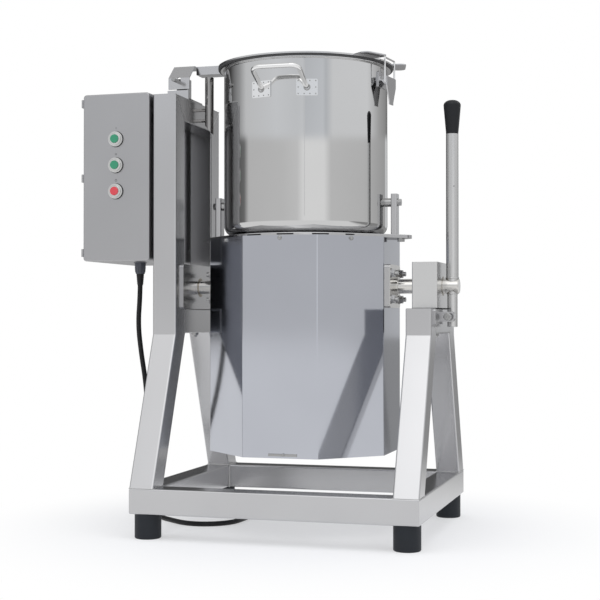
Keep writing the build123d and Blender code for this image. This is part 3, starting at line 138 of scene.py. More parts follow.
def stretched_noise(tree, coordinates, stretch, scale, detail=3.0):
    """Noise whose grain is stretched along the axes that have a small value in stretch."""
    mapping = tree.nodes.new("ShaderNodeMapping")
    mapping.inputs["Scale"].default_value = stretch
    tree.links.new(coordinates, mapping.inputs["Vector"])
    noise = tree.nodes.new("ShaderNodeTexNoise")
    noise.inputs["Scale"].default_value = scale
    noise.inputs["Detail"].default_value = detail
    tree.links.new(mapping.outputs["Vector"], noise.inputs["Vector"])
    return noise.outputs["Fac"]


def spread(tree, factor, low, high):
    """Factor from 0.3 to 0.7 brought to the range from low to high."""
    node = tree.nodes.new("ShaderNodeMapRange")
    node.inputs["From Min"].default_value = 0.3
    node.inputs["From Max"].default_value = 0.7
    node.inputs["To Min"].default_value = low
    node.inputs["To Max"].default_value = high
    tree.links.new(factor, node.inputs["Value"])
    return node.outputs["Result"]


def shaded_colour(tree, factor, colour, low, high):
    """Colour that varies between low and high times its value."""
    ramp = tree.nodes.new("ShaderNodeValToRGB")
    ramp.color_ramp.elements[0].position = 0.3
    ramp.color_ramp.elements[1].position = 0.7
    ramp.color_ramp.elements[0].color = [low * channel for channel in colour] + [1]
    ramp.color_ramp.elements[1].color = [min(1, high * channel) for channel in colour] + [1]
    tree.links.new(factor, ramp.inputs["Fac"])
    return ramp.outputs["Color"]


def add_bump(tree, shader, factor, strength, distance):
    """Fine relief from a factor."""
    bump = tree.nodes.new("ShaderNodeBump")
    bump.inputs["Strength"].default_value = strength
    bump.inputs["Distance"].default_value = distance
    tree.links.new(factor, bump.inputs["Height"])
    tree.links.new(bump.outputs["Normal"], shader.inputs["Normal"])


def steel(name, colour, roughness, grain=(1, 1, 1), grain_scale=1500.0, streak=0.02, relief=0.006):
    """Ground or polished steel: grain in its roughness and relief, slow patches in its colour."""
    material, tree, shader, coordinates = start_material(name)
    shader.inputs["Metallic"].default_value = 1.0
    fine = stretched_noise(tree, coordinates, grain, grain_scale, 4.0)
    slow = stretched_noise(tree, coordinates, (1, 1, 1), 5.0, 2.0)
    tree.links.new(shaded_colour(tree, slow, colour, 0.98, 1.02), shader.inputs["Base Color"])
    tree.links.new(spread(tree, fine, roughness - streak, roughness + streak), shader.inputs["Roughness"])
    add_bump(tree, shader, fine, relief, GRAIN_DEPTH)
    return material


def plastic(name, colour, roughness, speckle=0.04, relief=0.08, scale=700.0, gloss=0.5):
    """Moulded plastic or rubber with a fine texture and slightly uneven gloss."""
    material, tree, shader, coordinates = start_material(name)
    shader.inputs["Specular IOR Level"].default_value = gloss
    fine = stretched_noise(tree, coordinates, (1, 1, 1), scale, 3.0)
    slow = stretched_noise(tree, coordinates, (1, 1, 1), 14.0, 3.0)
    tree.links.new(shaded_colour(tree, slow, colour, 0.9, 1.1), shader.inputs["Base Color"])
    tree.links.new(spread(tree, slow, roughness - speckle, roughness + speckle), shader.inputs["Roughness"])
    add_bump(tree, shader, fine, relief, GRAIN_DEPTH)
    return material


def make_finishes():
    """Every finish by name."""
    paint = colours()
    upright = (1, 1, 0.02)
    across = (0.02, 1, 1)
    return {
        "frame_steel": steel("ground_tube_steel", paint.frame_steel, 0.22, (1, 1, 0.2), 2600, 0.02, 0.004),
        "base_steel": steel("ground_base_steel", (0.53, 0.53, 0.54), 0.25, (0.2, 1, 1), 2600, 0.02, 0.004),
        "block_steel": steel(
            "machined_block_steel", (0.62, 0.62, 0.62), 0.25, (1, 1, 1), 2600, 0.02, 0.003),
        "box_steel": steel("satin_box_steel", paint.box_steel, 0.33, upright),
        "casing_steel": steel("bright_casing_steel", paint.casing_steel, 0.09, upright, 1500, 0.02, 0.003),
        "bowl_steel": steel("polished_bowl_steel", paint.bowl_steel, 0.035, (1, 1, 0.3), 900, 0.01, 0.002),
        "lid_steel": steel("polished_lid_steel", paint.bowl_steel, 0.16, (1, 1, 1), 900, 0.03, 0.01),
        "plate_steel": steel("laser_cut_plate", paint.frame_steel, 0.17, across, 1800, 0.02, 0.006),
        "bright_steel": steel("turned_bright_steel", (0.62, 0.61, 0.59), 0.17, across, 1800),
        "lever_steel": steel("ground_lever_steel", (0.56, 0.56, 0.56), 0.2, (1, 1, 1), 2600, 0.02, 0.003),
        "bolt_steel": steel("bolt_steel", (0.36, 0.36, 0.36), 0.18, (1, 1, 1), 1200, 0.03, 0.02),
        "wire_steel": steel("polished_wire", (0.78, 0.78, 0.78), 0.07, (1, 1, 1), 900, 0.02, 0.005),
        "tube_chrome": steel("dark_chrome_tube", (0.36, 0.35, 0.34), 0.1, upright, 900, 0.02, 0.01),
        "knife_steel": steel("ground_knife_steel", (0.66, 0.67, 0.68), 0.18, (0.2, 1, 1), 1400),
        "bush": steel("oiled_bush_metal", (0.30, 0.27, 0.22), 0.3),
        "zinc": steel("zinc_plate", (0.22, 0.23, 0.23), 0.42, (1, 1, 1), 90, 0.1, 0.05),
        "motor_paint": plastic("motor_enamel", (0.10, 0.14, 0.18), 0.42, 0.06, 0.15, 260),
        "rubber": plastic("foot_rubber", paint.rubber, 0.55, 0.05, 0.2, 900, 0.35),
        "gasket": plastic("gasket_rubber", (0.05, 0.05, 0.052), 0.6, 0.05, 0.1, 900, 0.3),
        "grip": plastic("grip_plastic", paint.grip, 0.38, 0.05, 0.06, 500, 0.3),
        "gland": plastic("gland_nylon", (0.085, 0.09, 0.11), 0.42, 0.05, 0.1, 500, 0.4),
        "cord": plastic("cord_rubber", (0.006, 0.006, 0.007), 0.45, 0.05, 0.12, 900, 0.3),
        "plug": plastic("plug_rubber", (0.010, 0.010, 0.012), 0.5, 0.05, 0.12, 700, 0.35),
        "switchgear": plastic("switchgear_plastic", (0.10, 0.105, 0.11), 0.45),
        "green": plastic("green_cap", paint.green, 0.25, 0.03, 0.02),
        "red": plastic("red_cap", paint.red, 0.25, 0.03, 0.02),
        "mark": plastic("engraved_mark", (0.10, 0.10, 0.105), 0.5, 0.03, 0.02),
        "bezel": steel("bezel_metal", (0.62, 0.62, 0.61), 0.3, (1, 1, 1), 1200),
        "weld": steel("brushed_weld", (0.52, 0.52, 0.52), 0.34, (1, 1, 1), 420, 0.08, 0.25),
        "spot": steel("spot_weld", (0.34, 0.34, 0.34), 0.3, (1, 1, 1), 900, 0.05, 0.1),
        # Near-black painted shade for the gaps under the pivot blocks, the air slots and the rings round
        # the buttons
        "painted_gap_shade": plastic("painted_gap_shade", (0.012, 0.012, 0.014), 0.7, 0.05, 0.05, 700, 0.2),
    }


NODE_FINISHES = {
    "frame_steel": ["left_side_frame", "right_side_frame", "lever_stop_bracket"],
    "base_steel": ["base_frame"],
    "block_steel": ["left_bearing_block", "right_bearing_block"],
    "box_steel": ["control_box", "control_box_door", "door_hinge_leaves"],
    "casing_steel": ["motor_casing", "casing_bottom_cover"],
    "bowl_steel": ["bowl"],
    "lid_steel": ["lid"],
    "plate_steel": ["bowl_mounting_plate", "left_cheek_plate", "lid_arm", "lid_hinge_leaf",
                    "lid_hinge_bracket", "stay_posts", "latch_bracket", "lid_tabs", "right_latch_lever"],
    "bright_steel": ["left_trunnion", "right_trunnion", "spindle", "spindle_housing",
                     "knife_collars", "knife_nut"],
    "lever_steel": ["tilt_lever"],
    "bolt_steel": ["bearing_block_nuts", "trunnion_flange_bolts", "stay_bolts", "lid_hinge_pin",
                   "stop_plunger", "box_spacers"],
    "wire_steel": ["front_handle", "rear_handle", "right_latch_bail"],
    "tube_chrome": ["lid_switch_tube"],
    "knife_steel": ["lower_knife", "upper_knife"],
    "bush": ["trunnion_bushes"],
    "zinc": ["box_back_plate"],
    "motor_paint": ["motor_body", "motor_end_bell", "motor_fan_cowl"],
    "rubber": ["rubber_feet"],
    "gasket": ["lid_gasket"],
    "grip": ["lever_grip"],
    "gland": ["cable_gland"],
    "cord": ["mains_cord", "cord_coil"],
    "plug": ["mains_plug"],
    "switchgear": ["switchgear", "button_contact_blocks"],
    "green": ["slow_button", "fast_button"],
    "red": ["stop_button"],
    "bezel": ["button_bezels"],
}

# Filled by the first operator, read by all the others
finishes = {}


# ---------------------------------------------------------------- shared mesh work
def new_piece(name, builder, finish, body, smooth=35):
    """Mesh object at the origin from a bmesh, with its finish, riding on a body."""
    mesh = bpy.data.meshes.new(name)
    bmesh.ops.recalc_face_normals(builder, faces=builder.faces[:])
    builder.to_mesh(mesh)
    builder.free()
    piece = bpy.data.objects.new(name, mesh)
    bpy.context.scene.collection.objects.link(piece)
    mesh.materials.append(finishes[finish])
    mesh.shade_smooth()
    mesh.set_sharp_from_angle(angle=math.radians(smooth))
    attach(piece, body)
    return piece


def facing(place, direction):
    """Matrix that brings +Z to a direction at a place."""
    turn = Vector(direction).to_track_quat("Z", "Y").to_matrix().to_4x4()
    return Matrix.Translation(Vector(place)) @ turn


def outward(angle):
    """Level direction away from the machine's axis at an angle in degrees."""
    return Vector((math.cos(math.radians(angle)), math.sin(math.radians(angle)), 0))


def add_disc(builder, matrix, radius, height, rounding, segments=24):
    """Short round boss that stands on its seat, with its far edge rounded."""
    made = bmesh.ops.create_cone(
        builder, cap_ends=True, segments=segments, radius1=radius, radius2=radius, depth=height,
        matrix=matrix @ Matrix.Translation((0, 0, height / 2)))
    if not rounding:
        return
    axis = (matrix.to_3x3() @ Vector((0, 0, 1))).normalized()
    seat = matrix.translation
    rim = []
    for edge in {edge for vertex in made["verts"] for edge in vertex.link_edges}:
        if min((vertex.co - seat).dot(axis) for vertex in edge.verts) > height * 0.9:
            rim.append(edge)
    bmesh.ops.bevel(
        builder, geom=rim, offset=rounding, segments=3, profile=0.5, affect="EDGES", material=-1)


def add_ring(builder, matrix, radius, thickness, segments=40):
    """Round wire ring in the matrix's own XY plane."""
    start = Matrix.Translation((radius, 0, 0)) @ Matrix.Rotation(math.radians(90), 4, "X")
    made = bmesh.ops.create_circle(
        builder, cap_ends=False, segments=12, radius=thickness / 2, matrix=matrix @ start)
    edges = list({edge for vertex in made["verts"] for edge in vertex.link_edges})
    axis = (matrix.to_3x3() @ Vector((0, 0, 1))).normalized()
    bmesh.ops.spin(
        builder, geom=made["verts"] + edges, cent=matrix.translation, axis=axis,
        angle=math.tau, steps=segments, use_merge=True)


def add_bead(builder, start, end, width, height, normal):
    """Low half-round weld bead from start to end on a surface with that normal."""
    start, end, normal = Vector(start), Vector(end), Vector(normal).normalized()
    run = end - start
    side = run.normalized().cross(normal).normalized()
    steps = 6
    ring = []
    for step in range(steps + 1):
        turn = math.pi * step / steps
        offset = side * math.cos(turn) * width / 2 + normal * (math.sin(turn) * height - height * 0.1)
        ring.append(builder.verts.new(start + offset))
    first = builder.faces.new(ring)
    made = bmesh.ops.extrude_face_region(builder, geom=[first], use_keep_orig=True)
    far = [item for item in made["geom"] if isinstance(item, bmesh.types.BMVert)]
    bmesh.ops.translate(builder, verts=far, vec=run)


def add_box(builder, low, high, rounding=0.0):
    """Box between two corners, with its edges rounded."""
    low, high = Vector(low), Vector(high)
    made = bmesh.ops.create_cube(
        builder, size=1, matrix=Matrix.Translation((low + high) / 2) @ Matrix.Diagonal((*(high - low), 1)))
    if rounding:
        edges = list({edge for vertex in made["verts"] for edge in vertex.link_edges})
        bmesh.ops.bevel(
            builder, geom=edges, offset=rounding, segments=3, profile=0.5, affect="EDGES", material=-1)


# ---------------------------------------------------------------- pieces
class CUTTER_OT_node_finishes(bpy.types.Operator):
    """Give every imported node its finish"""

    bl_idname = "cutter.node_finishes"
    bl_label = "Finish the packed pieces"

    def execute(self, context):
        finishes.update(make_finishes())
        for finish, nodes in NODE_FINISHES.items():
            for node in nodes:
                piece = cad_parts[node]
                piece.data.materials.clear()
                piece.data.materials.append(finishes[finish])
        bare = set(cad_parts) - {node for nodes in NODE_FINISHES.values() for node in nodes}
        if bare:
            raise RuntimeError(f"nodes with no finish: {sorted(bare)}")
        return {"FINISHED"}


# Middle line of the mains cord in metres, from the gland to the coil
CORD_POINTS = [
    (-0.440, -0.063, 0.661),
    (-0.440, -0.063, 0.606),
    (-0.447, -0.061, 0.528),
    (-0.439, -0.058, 0.450),
    (-0.429, -0.050, 0.372),
    (-0.432, -0.030, 0.288),
    (-0.447, -0.002, 0.210),
    (-0.463, 0.026, 0.150),
    (-0.472, 0.040, 0.100),
    (-0.466, 0.038, 0.054),
    (-0.443, 0.025, 0.022),
    (-0.408, 0.005, 0.0065),
    (-0.362, -0.033, 0.0065),
    (-0.312, -0.071, 0.0065),
    (-0.264, -0.078, 0.0065),
    (-0.220, -0.058, 0.0065),
    (-0.192, -0.019, 0.0065),
    (-0.186, 0.030, 0.0065),
    (-0.184, 0.102, 0.0065),
]
COIL_MIDDLE = (-0.261, 0.170)
COIL_START = 5
COIL_TURN = 660
COIL_STEP = 30
# Degrees along the coil where its second turn begins to climb, and how many the climb takes
COIL_CLIMB = (280, 60)
TAIL_LENGTH = 0.075
TAIL_HEIGHT = 0.020
# Wall of the sleeve round the cord at the gland and at its free end
SLEEVE_WALLS = (3.6 * MM, 1.0 * MM)
SLEEVE_RINGS = 5


def coil_points():
    """Control points of the coil's turns and of the short tail to the plug."""
    radius = sizes().coil_radius
    low = sizes().cord_diameter / 2
    points = []
    for turned in range(0, COIL_TURN + 1, COIL_STEP):
        angle = math.radians(COIL_START + turned)
        rise = min(1, max(0, (turned - COIL_CLIMB[0]) / COIL_CLIMB[1]))
        points.append((
            COIL_MIDDLE[0] + radius * math.cos(angle),
            COIL_MIDDLE[1] + radius * math.sin(angle),
            low + rise * sizes().cord_diameter,
        ))
    leave = math.radians(COIL_START + COIL_TURN)
    heading = Vector((-math.sin(leave), math.cos(leave), 0))
    last = Vector(points[-1])
    for share in (0.5, 1.0):
        point = last + heading * TAIL_LENGTH * share
        points.append((point.x, point.y, TAIL_HEIGHT))
    return points


class CUTTER_OT_mains_cord(bpy.types.Operator):
    """Hang the mains cord from its gland, lay it on the floor and coil the rest"""

    bl_idname = "cutter.mains_cord"
    bl_label = "Mains cord"

    def execute(self, context):
        curve = bpy.data.curves.new("mains_cord_line", "CURVE")
        curve.dimensions = "3D"
        curve.bevel_depth = sizes().cord_diameter / 2
        curve.bevel_resolution = 5
        curve.resolution_u = 8
        curve.use_fill_caps = True
        points = CORD_POINTS + coil_points()
        spline = curve.splines.new("NURBS")
        spline.points.add(len(points) - 1)
        for target, point in zip(spline.points, points):
            target.co = (*point, 1)
        spline.order_u = 3
        spline.use_endpoint_u = True
        cord = bpy.data.objects.new("mains_lead", curve)
        context.scene.collection.objects.link(cord)
        curve.materials.append(finishes["cord"])
        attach(cord, "frame")
        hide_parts("mains_cord", "cord_coil")

        builder = bmesh.new()
        leave = Vector(CORD_POINTS[0])
        length = sizes().sleeve_length
        core = sizes().cord_diameter / 2
        down = facing(leave, (0, 0, -1))
        wide, narrow = (core + wall for wall in SLEEVE_WALLS)
        bmesh.ops.create_cone(
            builder, cap_ends=True, segments=32, radius1=wide, radius2=narrow, depth=length,
            matrix=down @ Matrix.Translation((0, 0, length / 2)))
        for step in range(1, SLEEVE_RINGS + 1):
            share = step / (SLEEVE_RINGS + 1)
            ring = down @ Matrix.Translation((0, 0, length * share))
            add_ring(builder, ring, wide + (narrow - wide) * share, 1.6 * MM, 32)
        sleeve = new_piece("cord_sleeve", builder, "plug", "frame")
        return {"FINISHED"}


# Places of the welded frame in metres
FRAME_OUT = 0.3625
FRAME_IN = 0.299
HALF_DEPTH = 0.313
BASE_TOP = 0.1255
LEG_FOOT = 0.0683
POST_OUT = 0.1635
POST_IN = 0.100
SADDLE_TOP = 0.5675
SADDLE_UNDER = 0.504
BLOCK_HALF = 0.085
GOALPOST_TOP = 1.120
TUBE = 0.0635
FACE_INSET = 0.5 * MM
MITRE_STEP = 0.001
# Rise and width of the dark lines of painted shade that stand in for the gap under each pivot block
BLOCK_GAP_RISE = 0.6 * MM
BLOCK_GAP_WIDTH = 2.2 * MM


class CUTTER_OT_frame_welds(bpy.types.Operator):
    """Lay the weld beads of the square-tube frame and the lines of painted shade under its pivot blocks"""

    bl_idname = "cutter.frame_welds"
    bl_label = "Frame welds and seat lines"

    def execute(self, context):
        width, height = sizes().weld_width, sizes().weld_height
        builder = bmesh.new()
        for side in (-1, 1):
            inner, outer = side * FRAME_IN, side * FRAME_OUT
            for end in (-1, 1):
                heel, toe = end * (HALF_DEPTH - LEG_FOOT), end * HALF_DEPTH
                edge = end * (HALF_DEPTH - FACE_INSET)
                post = end * POST_IN
                # Start and end of a seam on top of the base, shares of the weld's size, facing
                foot_seams = [
                    ((inner, heel), (outer, heel), 1.0, 1.0, (0, -end, 1)),
                    ((inner, heel), (inner, toe), 1.0, 1.0, (-side, 0, 1)),
                    ((outer, heel), (outer, toe), 0.5, 0.4, (side, 0, 1)),
                    ((inner, edge), (outer, edge), 0.4, 0.3, (0, end, 0)),
                ]
                for start, stop, wide, high, normal in foot_seams:
                    add_bead(builder, (*start, BASE_TOP), (*stop, BASE_TOP),
                             width * wide, height * high, normal)
                for face, way in ((inner, -side), (outer, side)):
                    add_bead(builder, (face, post, SADDLE_UNDER), (face, post, SADDLE_TOP),
                             width * 0.5, height * 0.3, (way, 0, 0))
                add_bead(builder, (inner, post, SADDLE_UNDER), (outer, post, SADDLE_UNDER),
                         width * 0.8, height, (0, -end, -1))
        new_piece("frame_welds", builder, "weld", "frame")

        builder = bmesh.new()
        for face, way in ((-FRAME_IN, 1), (-FRAME_OUT, -1)):
            for end in (-1, 1):
                add_bead(builder, (face, end * POST_IN, GOALPOST_TOP - TUBE),
                         (face, end * POST_OUT, GOALPOST_TOP), width * 0.4, height * 0.25, (way, 0, 0))
        for side in (-1, 1):
            for end in (-1, 1):
                corner = (side * FRAME_IN, end * (HALF_DEPTH - TUBE), BASE_TOP)
                under = (side * (FRAME_IN - MITRE_STEP), end * (HALF_DEPTH - TUBE - MITRE_STEP),
                         BASE_TOP - TUBE)
                add_bead(builder, corner, under, width, height, (-side, -end, 0))
        new_piece("mitre_welds", builder, "weld", "frame")

        # Painted shade: dark lines where each pivot block sits on its cross tube
        builder = bmesh.new()
        gap_height = SADDLE_TOP + BLOCK_GAP_RISE
        for side in (-1, 1):
            for end in (-1, 1):
                near = (side * FRAME_IN, end * BLOCK_HALF, gap_height)
                far = (side * FRAME_OUT, end * BLOCK_HALF, gap_height)
                middle = (side * FRAME_OUT, 0, gap_height)
                add_bead(builder, near, far, BLOCK_GAP_WIDTH, 0.6 * MM, (0, end, 0))
                add_bead(builder, middle, far, BLOCK_GAP_WIDTH, 0.4 * MM, (side, 0, 0))
        new_piece("block_seat_painted_shade", builder, "painted_gap_shade", "frame")
        return {"FINISHED"}


# Handles on the bowl: angles in degrees, lengths in metres
BOWL_RADIUS = 0.213
HANDLE_ANGLE = 271.0
HANDLE_FOOT_TURN = 15.87
HANDLE_FOOT_HEIGHT = 1.111
HANDLE_PLATE = (0.053, 0.041)
HANDLE_MARGIN = (5 * MM, 4.5 * MM)
HANDLE_SEAT = 0.215
SPOT_COLUMNS = (-1, -0.33, 0.33, 1)
SPOT_SINK = 0.3 * MM
SPOT_HEIGHT = 0.7 * MM
FOOT_WELD_RADIUS = 7.0 * MM
FOOT_WELD_THICKNESS = 3.4 * MM
FOOT_WELD_RISE = 0.4 * MM


class CUTTER_OT_handle_welds(bpy.types.Operator):
    """Set the spot welds of the handle plates and the weld round each rod's foot"""

    bl_idname = "cutter.handle_welds"
    bl_label = "Handle welds"

    def execute(self, context):
        half_width = HANDLE_PLATE[0] / 2 - HANDLE_MARGIN[0]
        half_height = HANDLE_PLATE[1] / 2 - HANDLE_MARGIN[1]
        for handle, angle in (("front", HANDLE_ANGLE), ("rear", HANDLE_ANGLE - 180)):
            dots, collars = bmesh.new(), bmesh.new()
            for turn in (-HANDLE_FOOT_TURN, HANDLE_FOOT_TURN):
                out = outward(angle + turn)
                along = Vector((-out.y, out.x, 0))
                middle = out * HANDLE_SEAT + Vector((0, 0, HANDLE_FOOT_HEIGHT))
                for column in SPOT_COLUMNS:
                    for row in (-1, 0, 1):
                        if abs(column) < 0.5 and row == 0:
                            continue
                        place = middle + along * half_width * column + Vector((0, 0, half_height * row))
                        add_disc(dots, facing(place - out * SPOT_SINK, out), sizes().spot_weld / 2,
                                 SPOT_HEIGHT, SPOT_SINK, 16)
                seat = facing(middle + out * FOOT_WELD_RISE, out)
                add_ring(collars, seat, FOOT_WELD_RADIUS, FOOT_WELD_THICKNESS)
            new_piece(f"{handle}_handle_spot_welds", dots, "spot", "tilt_unit")
            new_piece(f"{handle}_handle_foot_welds", collars, "spot", "tilt_unit")
        return {"FINISHED"}


SEAM_ANGLE = 285.2
SEAM_HEIGHTS = (0.795, 1.183)
SEAM_WIDTH = 1.6 * MM
SEAM_RELIEF = 0.35 * MM
RIM_BEAD_HEIGHT = 1.1855
RIM_BEAD_REACH = 1.2 * MM
RIM_BEAD_THICKNESS = 3.2 * MM


class CUTTER_OT_bowl_seam(bpy.types.Operator):
    """Run the ground weld seam up the bowl's wall and the bead under its rim"""

    bl_idname = "cutter.bowl_seam"
    bl_label = "Bowl seam"

    def execute(self, context):
        builder = bmesh.new()
        out = outward(SEAM_ANGLE)
        foot, head = (out * BOWL_RADIUS + Vector((0, 0, height)) for height in SEAM_HEIGHTS)
        add_bead(builder, foot, head, SEAM_WIDTH, SEAM_RELIEF, out)
        new_piece("bowl_seam", builder, "lid_steel", "tilt_unit")

        builder = bmesh.new()
        add_ring(builder, Matrix.Translation((0, 0, RIM_BEAD_HEIGHT)), BOWL_RADIUS + RIM_BEAD_REACH,
                 RIM_BEAD_THICKNESS, 128)
        new_piece("rim_bead", builder, "lid_steel", "tilt_unit")
        return {"FINISHED"}


# Casing: eight flats at multiples of 45 degrees
CASING_FLAT = 0.2305
CASING_CORNER = 22.5
PLATE_UNDER = 0.747
TOP_SCREW_DROP = 6.5 * MM
TAB_LOW = (-0.029, -CASING_FLAT - 2.2 * MM, 0.206)
TAB_HIGH = (0.044, -CASING_FLAT + 0.2 * MM, 0.2125)
TAB_SCREW = (0.0086, -CASING_FLAT - 2.0 * MM, 0.2095)
FOLD_DROP = 2.0 * MM
FOLD_SHEET = 1.5 * MM
FOLD_INSETS = (2.2 * MM, 40 * MM)


class CUTTER_OT_casing_trim(bpy.types.Operator):
    """Put the screws and the folded edge under the mounting plate and the tab at the casing's foot"""

    bl_idname = "cutter.casing_trim"
    bl_label = "Casing screws, fold and tab"

    def execute(self, context):
        radius = sizes().screw_head / 2
        heads = bmesh.new()
        for turn in range(8):
            out = outward(45 * turn)
            if abs(out.x) > 0.9:
                continue
            place = out * (CASING_FLAT - 0.2 * MM) + Vector((0, 0, PLATE_UNDER - TOP_SCREW_DROP))
            add_disc(heads, facing(place, out), radius * 1.35, 1.4 * MM, 0.5 * MM)
            add_disc(heads, facing(place + out * 1.2 * MM, out), radius, 4.4 * MM, 1.6 * MM)
        new_piece("casing_top_screws", heads, "bolt_steel", "tilt_unit")

        tab = bmesh.new()
        add_box(tab, TAB_LOW, TAB_HIGH, 0.6 * MM)
        add_disc(tab, facing(TAB_SCREW, (0, -1, 0)), radius * 0.85, 3.6 * MM, 1.2 * MM)
        new_piece("casing_foot_tab", tab, "bolt_steel", "tilt_unit")

        fold = bmesh.new()
        turn = math.radians(CASING_CORNER)
        seat = Matrix.Translation((0, 0, PLATE_UNDER - FOLD_DROP)) @ Matrix.Rotation(turn, 4, "Z")
        edges = []
        for inset in FOLD_INSETS:
            loop = bmesh.ops.create_circle(
                fold, cap_ends=False, segments=8, radius=(CASING_FLAT - inset) / math.cos(turn),
                matrix=seat)["verts"]
            edges += list({edge for vertex in loop for edge in vertex.link_edges})
        faces = bmesh.ops.bridge_loops(fold, edges=edges)["faces"]
        raised = bmesh.ops.extrude_face_region(fold, geom=faces, use_keep_orig=True)["geom"]
        top = [item for item in raised if isinstance(item, bmesh.types.BMVert)]
        bmesh.ops.translate(fold, verts=top, vec=(0, 0, FOLD_SHEET))
        new_piece("casing_top_fold", fold, "plate_steel", "tilt_unit")
        return {"FINISHED"}


SLOT_RADIUS = 0.2105
SLOT_HEIGHT = 0.7512
SLOT_HALF_LENGTH = 0.021
SLOT_FIRST = 8
SLOT_STEP = 24


class CUTTER_OT_plate_slots(bpy.types.Operator):
    """Show the air slots round the seat of the bowl as dark strips of painted shade"""

    bl_idname = "cutter.plate_slots"
    bl_label = "Air slots under the bowl"

    def execute(self, context):
        # Painted shade: a dark strip stands in for the shadowed opening of each air slot
        builder = bmesh.new()
        for angle in range(SLOT_FIRST, 360, SLOT_STEP):
            out = outward(angle)
            along = Vector((-out.y, out.x, 0)) * SLOT_HALF_LENGTH
            middle = out * SLOT_RADIUS + Vector((0, 0, SLOT_HEIGHT))
            add_bead(builder, middle - along, middle + along, 3.2 * MM, 0.5 * MM, out)
        new_piece("seat_air_slot_painted_shade", builder, "painted_gap_shade", "tilt_unit")
        return {"FINISHED"}


LATCH_ANGLE = 352.0
LATCH_PIVOT = (0.225, 1.150)
RIVET_PLACE = 31.4 * MM
COIL_PLACE = 13.0 * MM
COIL_PITCH = 2.3 * MM
COIL_WIRE = 1.9 * MM


class CUTTER_OT_latch_trim(bpy.types.Operator):
    """Rivet heads on the latch's pin and the coil of its spring"""

    bl_idname = "cutter.latch_trim"
    bl_label = "Latch rivets and spring"

    def execute(self, context):
        out = outward(LATCH_ANGLE)
        along = Vector((-out.y, out.x, 0))
        pivot = out * LATCH_PIVOT[0] + Vector((0, 0, LATCH_PIVOT[1]))
        rivets, coils = bmesh.new(), bmesh.new()
        for side in (-1, 1):
            way = along * side
            add_disc(rivets, facing(pivot + way * RIVET_PLACE, way), 4.2 * MM, 2.0 * MM, 0.8 * MM)
            for turn in range(4):
                ring = facing(pivot + way * (COIL_PLACE + COIL_PITCH * turn), way)
                add_ring(coils, ring, 4.3 * MM, COIL_WIRE, 28)
        new_piece("latch_rivets", rivets, "bolt_steel", "right_lever")
        new_piece("latch_spring", coils, "spot", "tilt_unit")
        return {"FINISHED"}


LEVER_X = 0.38625
TRUNNION_HEIGHT = 0.6245
# Rise above the trunnion, radius and thickness of the welds round the lever's two tubes
LEVER_WELDS = [(20.5 * MM, 15.2 * MM, 4.0 * MM), (-19.6 * MM, 12.6 * MM, 3.6 * MM)]
SET_SCREW_HEIGHT = 0.8766
SET_SCREW_ANGLE = 295
SET_SCREW_REACH = 15.6 * MM


class CUTTER_OT_lever_trim(bpy.types.Operator):
    """Weld round the lever's foot, its set screw, and the ring on the stop's knob"""

    bl_idname = "cutter.lever_trim"
    bl_label = "Lever weld and stop ring"

    def execute(self, context):
        lever = bmesh.new()
        for rise, radius, thickness in LEVER_WELDS:
            add_ring(lever, Matrix.Translation((LEVER_X, 0, TRUNNION_HEIGHT + rise)), radius, thickness)
        new_piece("lever_welds", lever, "weld", "tilt_unit")

        screw = bmesh.new()
        out = outward(SET_SCREW_ANGLE)
        place = Vector((LEVER_X, 0, SET_SCREW_HEIGHT)) + out * SET_SCREW_REACH
        add_disc(screw, facing(place, out), 2.0 * MM, 0.9 * MM, 0.4 * MM)
        new_piece("lever_set_screw", screw, "spot", "tilt_unit")

        low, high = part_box("stop_plunger")
        front = Vector(((low.x + high.x) / 2, low.y, (low.z + high.z) / 2))
        rings = bmesh.new()
        add_ring(rings, facing(front, (0, -1, 0)), 5.6 * MM, 1.6 * MM)
        add_disc(rings, facing(front + Vector((0, 0.3 * MM, 0)), (0, -1, 0)), 2.2 * MM, 1.0 * MM, 0.4 * MM)
        new_piece("stop_knob_ring", rings, "spot", "stop_pin")
        return {"FINISHED"}


# The door's front and the buttons on it in metres, from the top one down
DOOR_FRONT = -0.177
BUTTON_X = -0.4595
BUTTON_HEIGHTS = (1.006, 0.9385, 0.871)
MARK_HEIGHTS = (1.0345, 0.967, 0.8995)
MARK_BARS = ((0,), (-1, 1), ())
BAR_SPACING = 1.7 * MM
BAR_HALF = (0.6 * MM, 2.6 * MM)


class CUTTER_OT_button_marks(bpy.types.Operator):
    """Engrave one bar, two bars and a ring over the three buttons, and ring their collars with painted
    shade
    """

    bl_idname = "cutter.button_marks"
    bl_label = "Marks over the buttons"

    def execute(self, context):
        builder = bmesh.new()
        for height, bars in zip(MARK_HEIGHTS, MARK_BARS):
            for place in bars:
                middle = BUTTON_X + place * BAR_SPACING
                add_box(builder, (middle - BAR_HALF[0], DOOR_FRONT - 0.2 * MM, height - BAR_HALF[1]),
                        (middle + BAR_HALF[0], DOOR_FRONT + 0.1 * MM, height + BAR_HALF[1]))
        stop_mark = facing((BUTTON_X, DOOR_FRONT, MARK_HEIGHTS[-1]), (0, -1, 0))
        add_ring(builder, stop_mark, 2.6 * MM, 1.1 * MM, 32)
        new_piece("button_marks", builder, "mark", "box_door")

        # Painted shade: a dark ring round each bezel stands in for the shadow in the gap round its collar
        shade_rings = bmesh.new()
        for height in BUTTON_HEIGHTS:
            add_ring(shade_rings, facing((BUTTON_X, DOOR_FRONT, height), (0, -1, 0)), 19.9 * MM, 1.8 * MM, 48)
        new_piece("button_painted_shade_rings", shade_rings, "painted_gap_shade", "box_door")
        return {"FINISHED"}


# Radius and height of the head and the foot of each rib on the gland's nut
GLAND_RIB_HEAD = (13.9 * MM, 0.6795)
GLAND_RIB_FOOT = (12.6 * MM, 0.6650)
GLAND_RIBS = 12
GLAND_WASHER = (17.6 * MM, 0.6895)


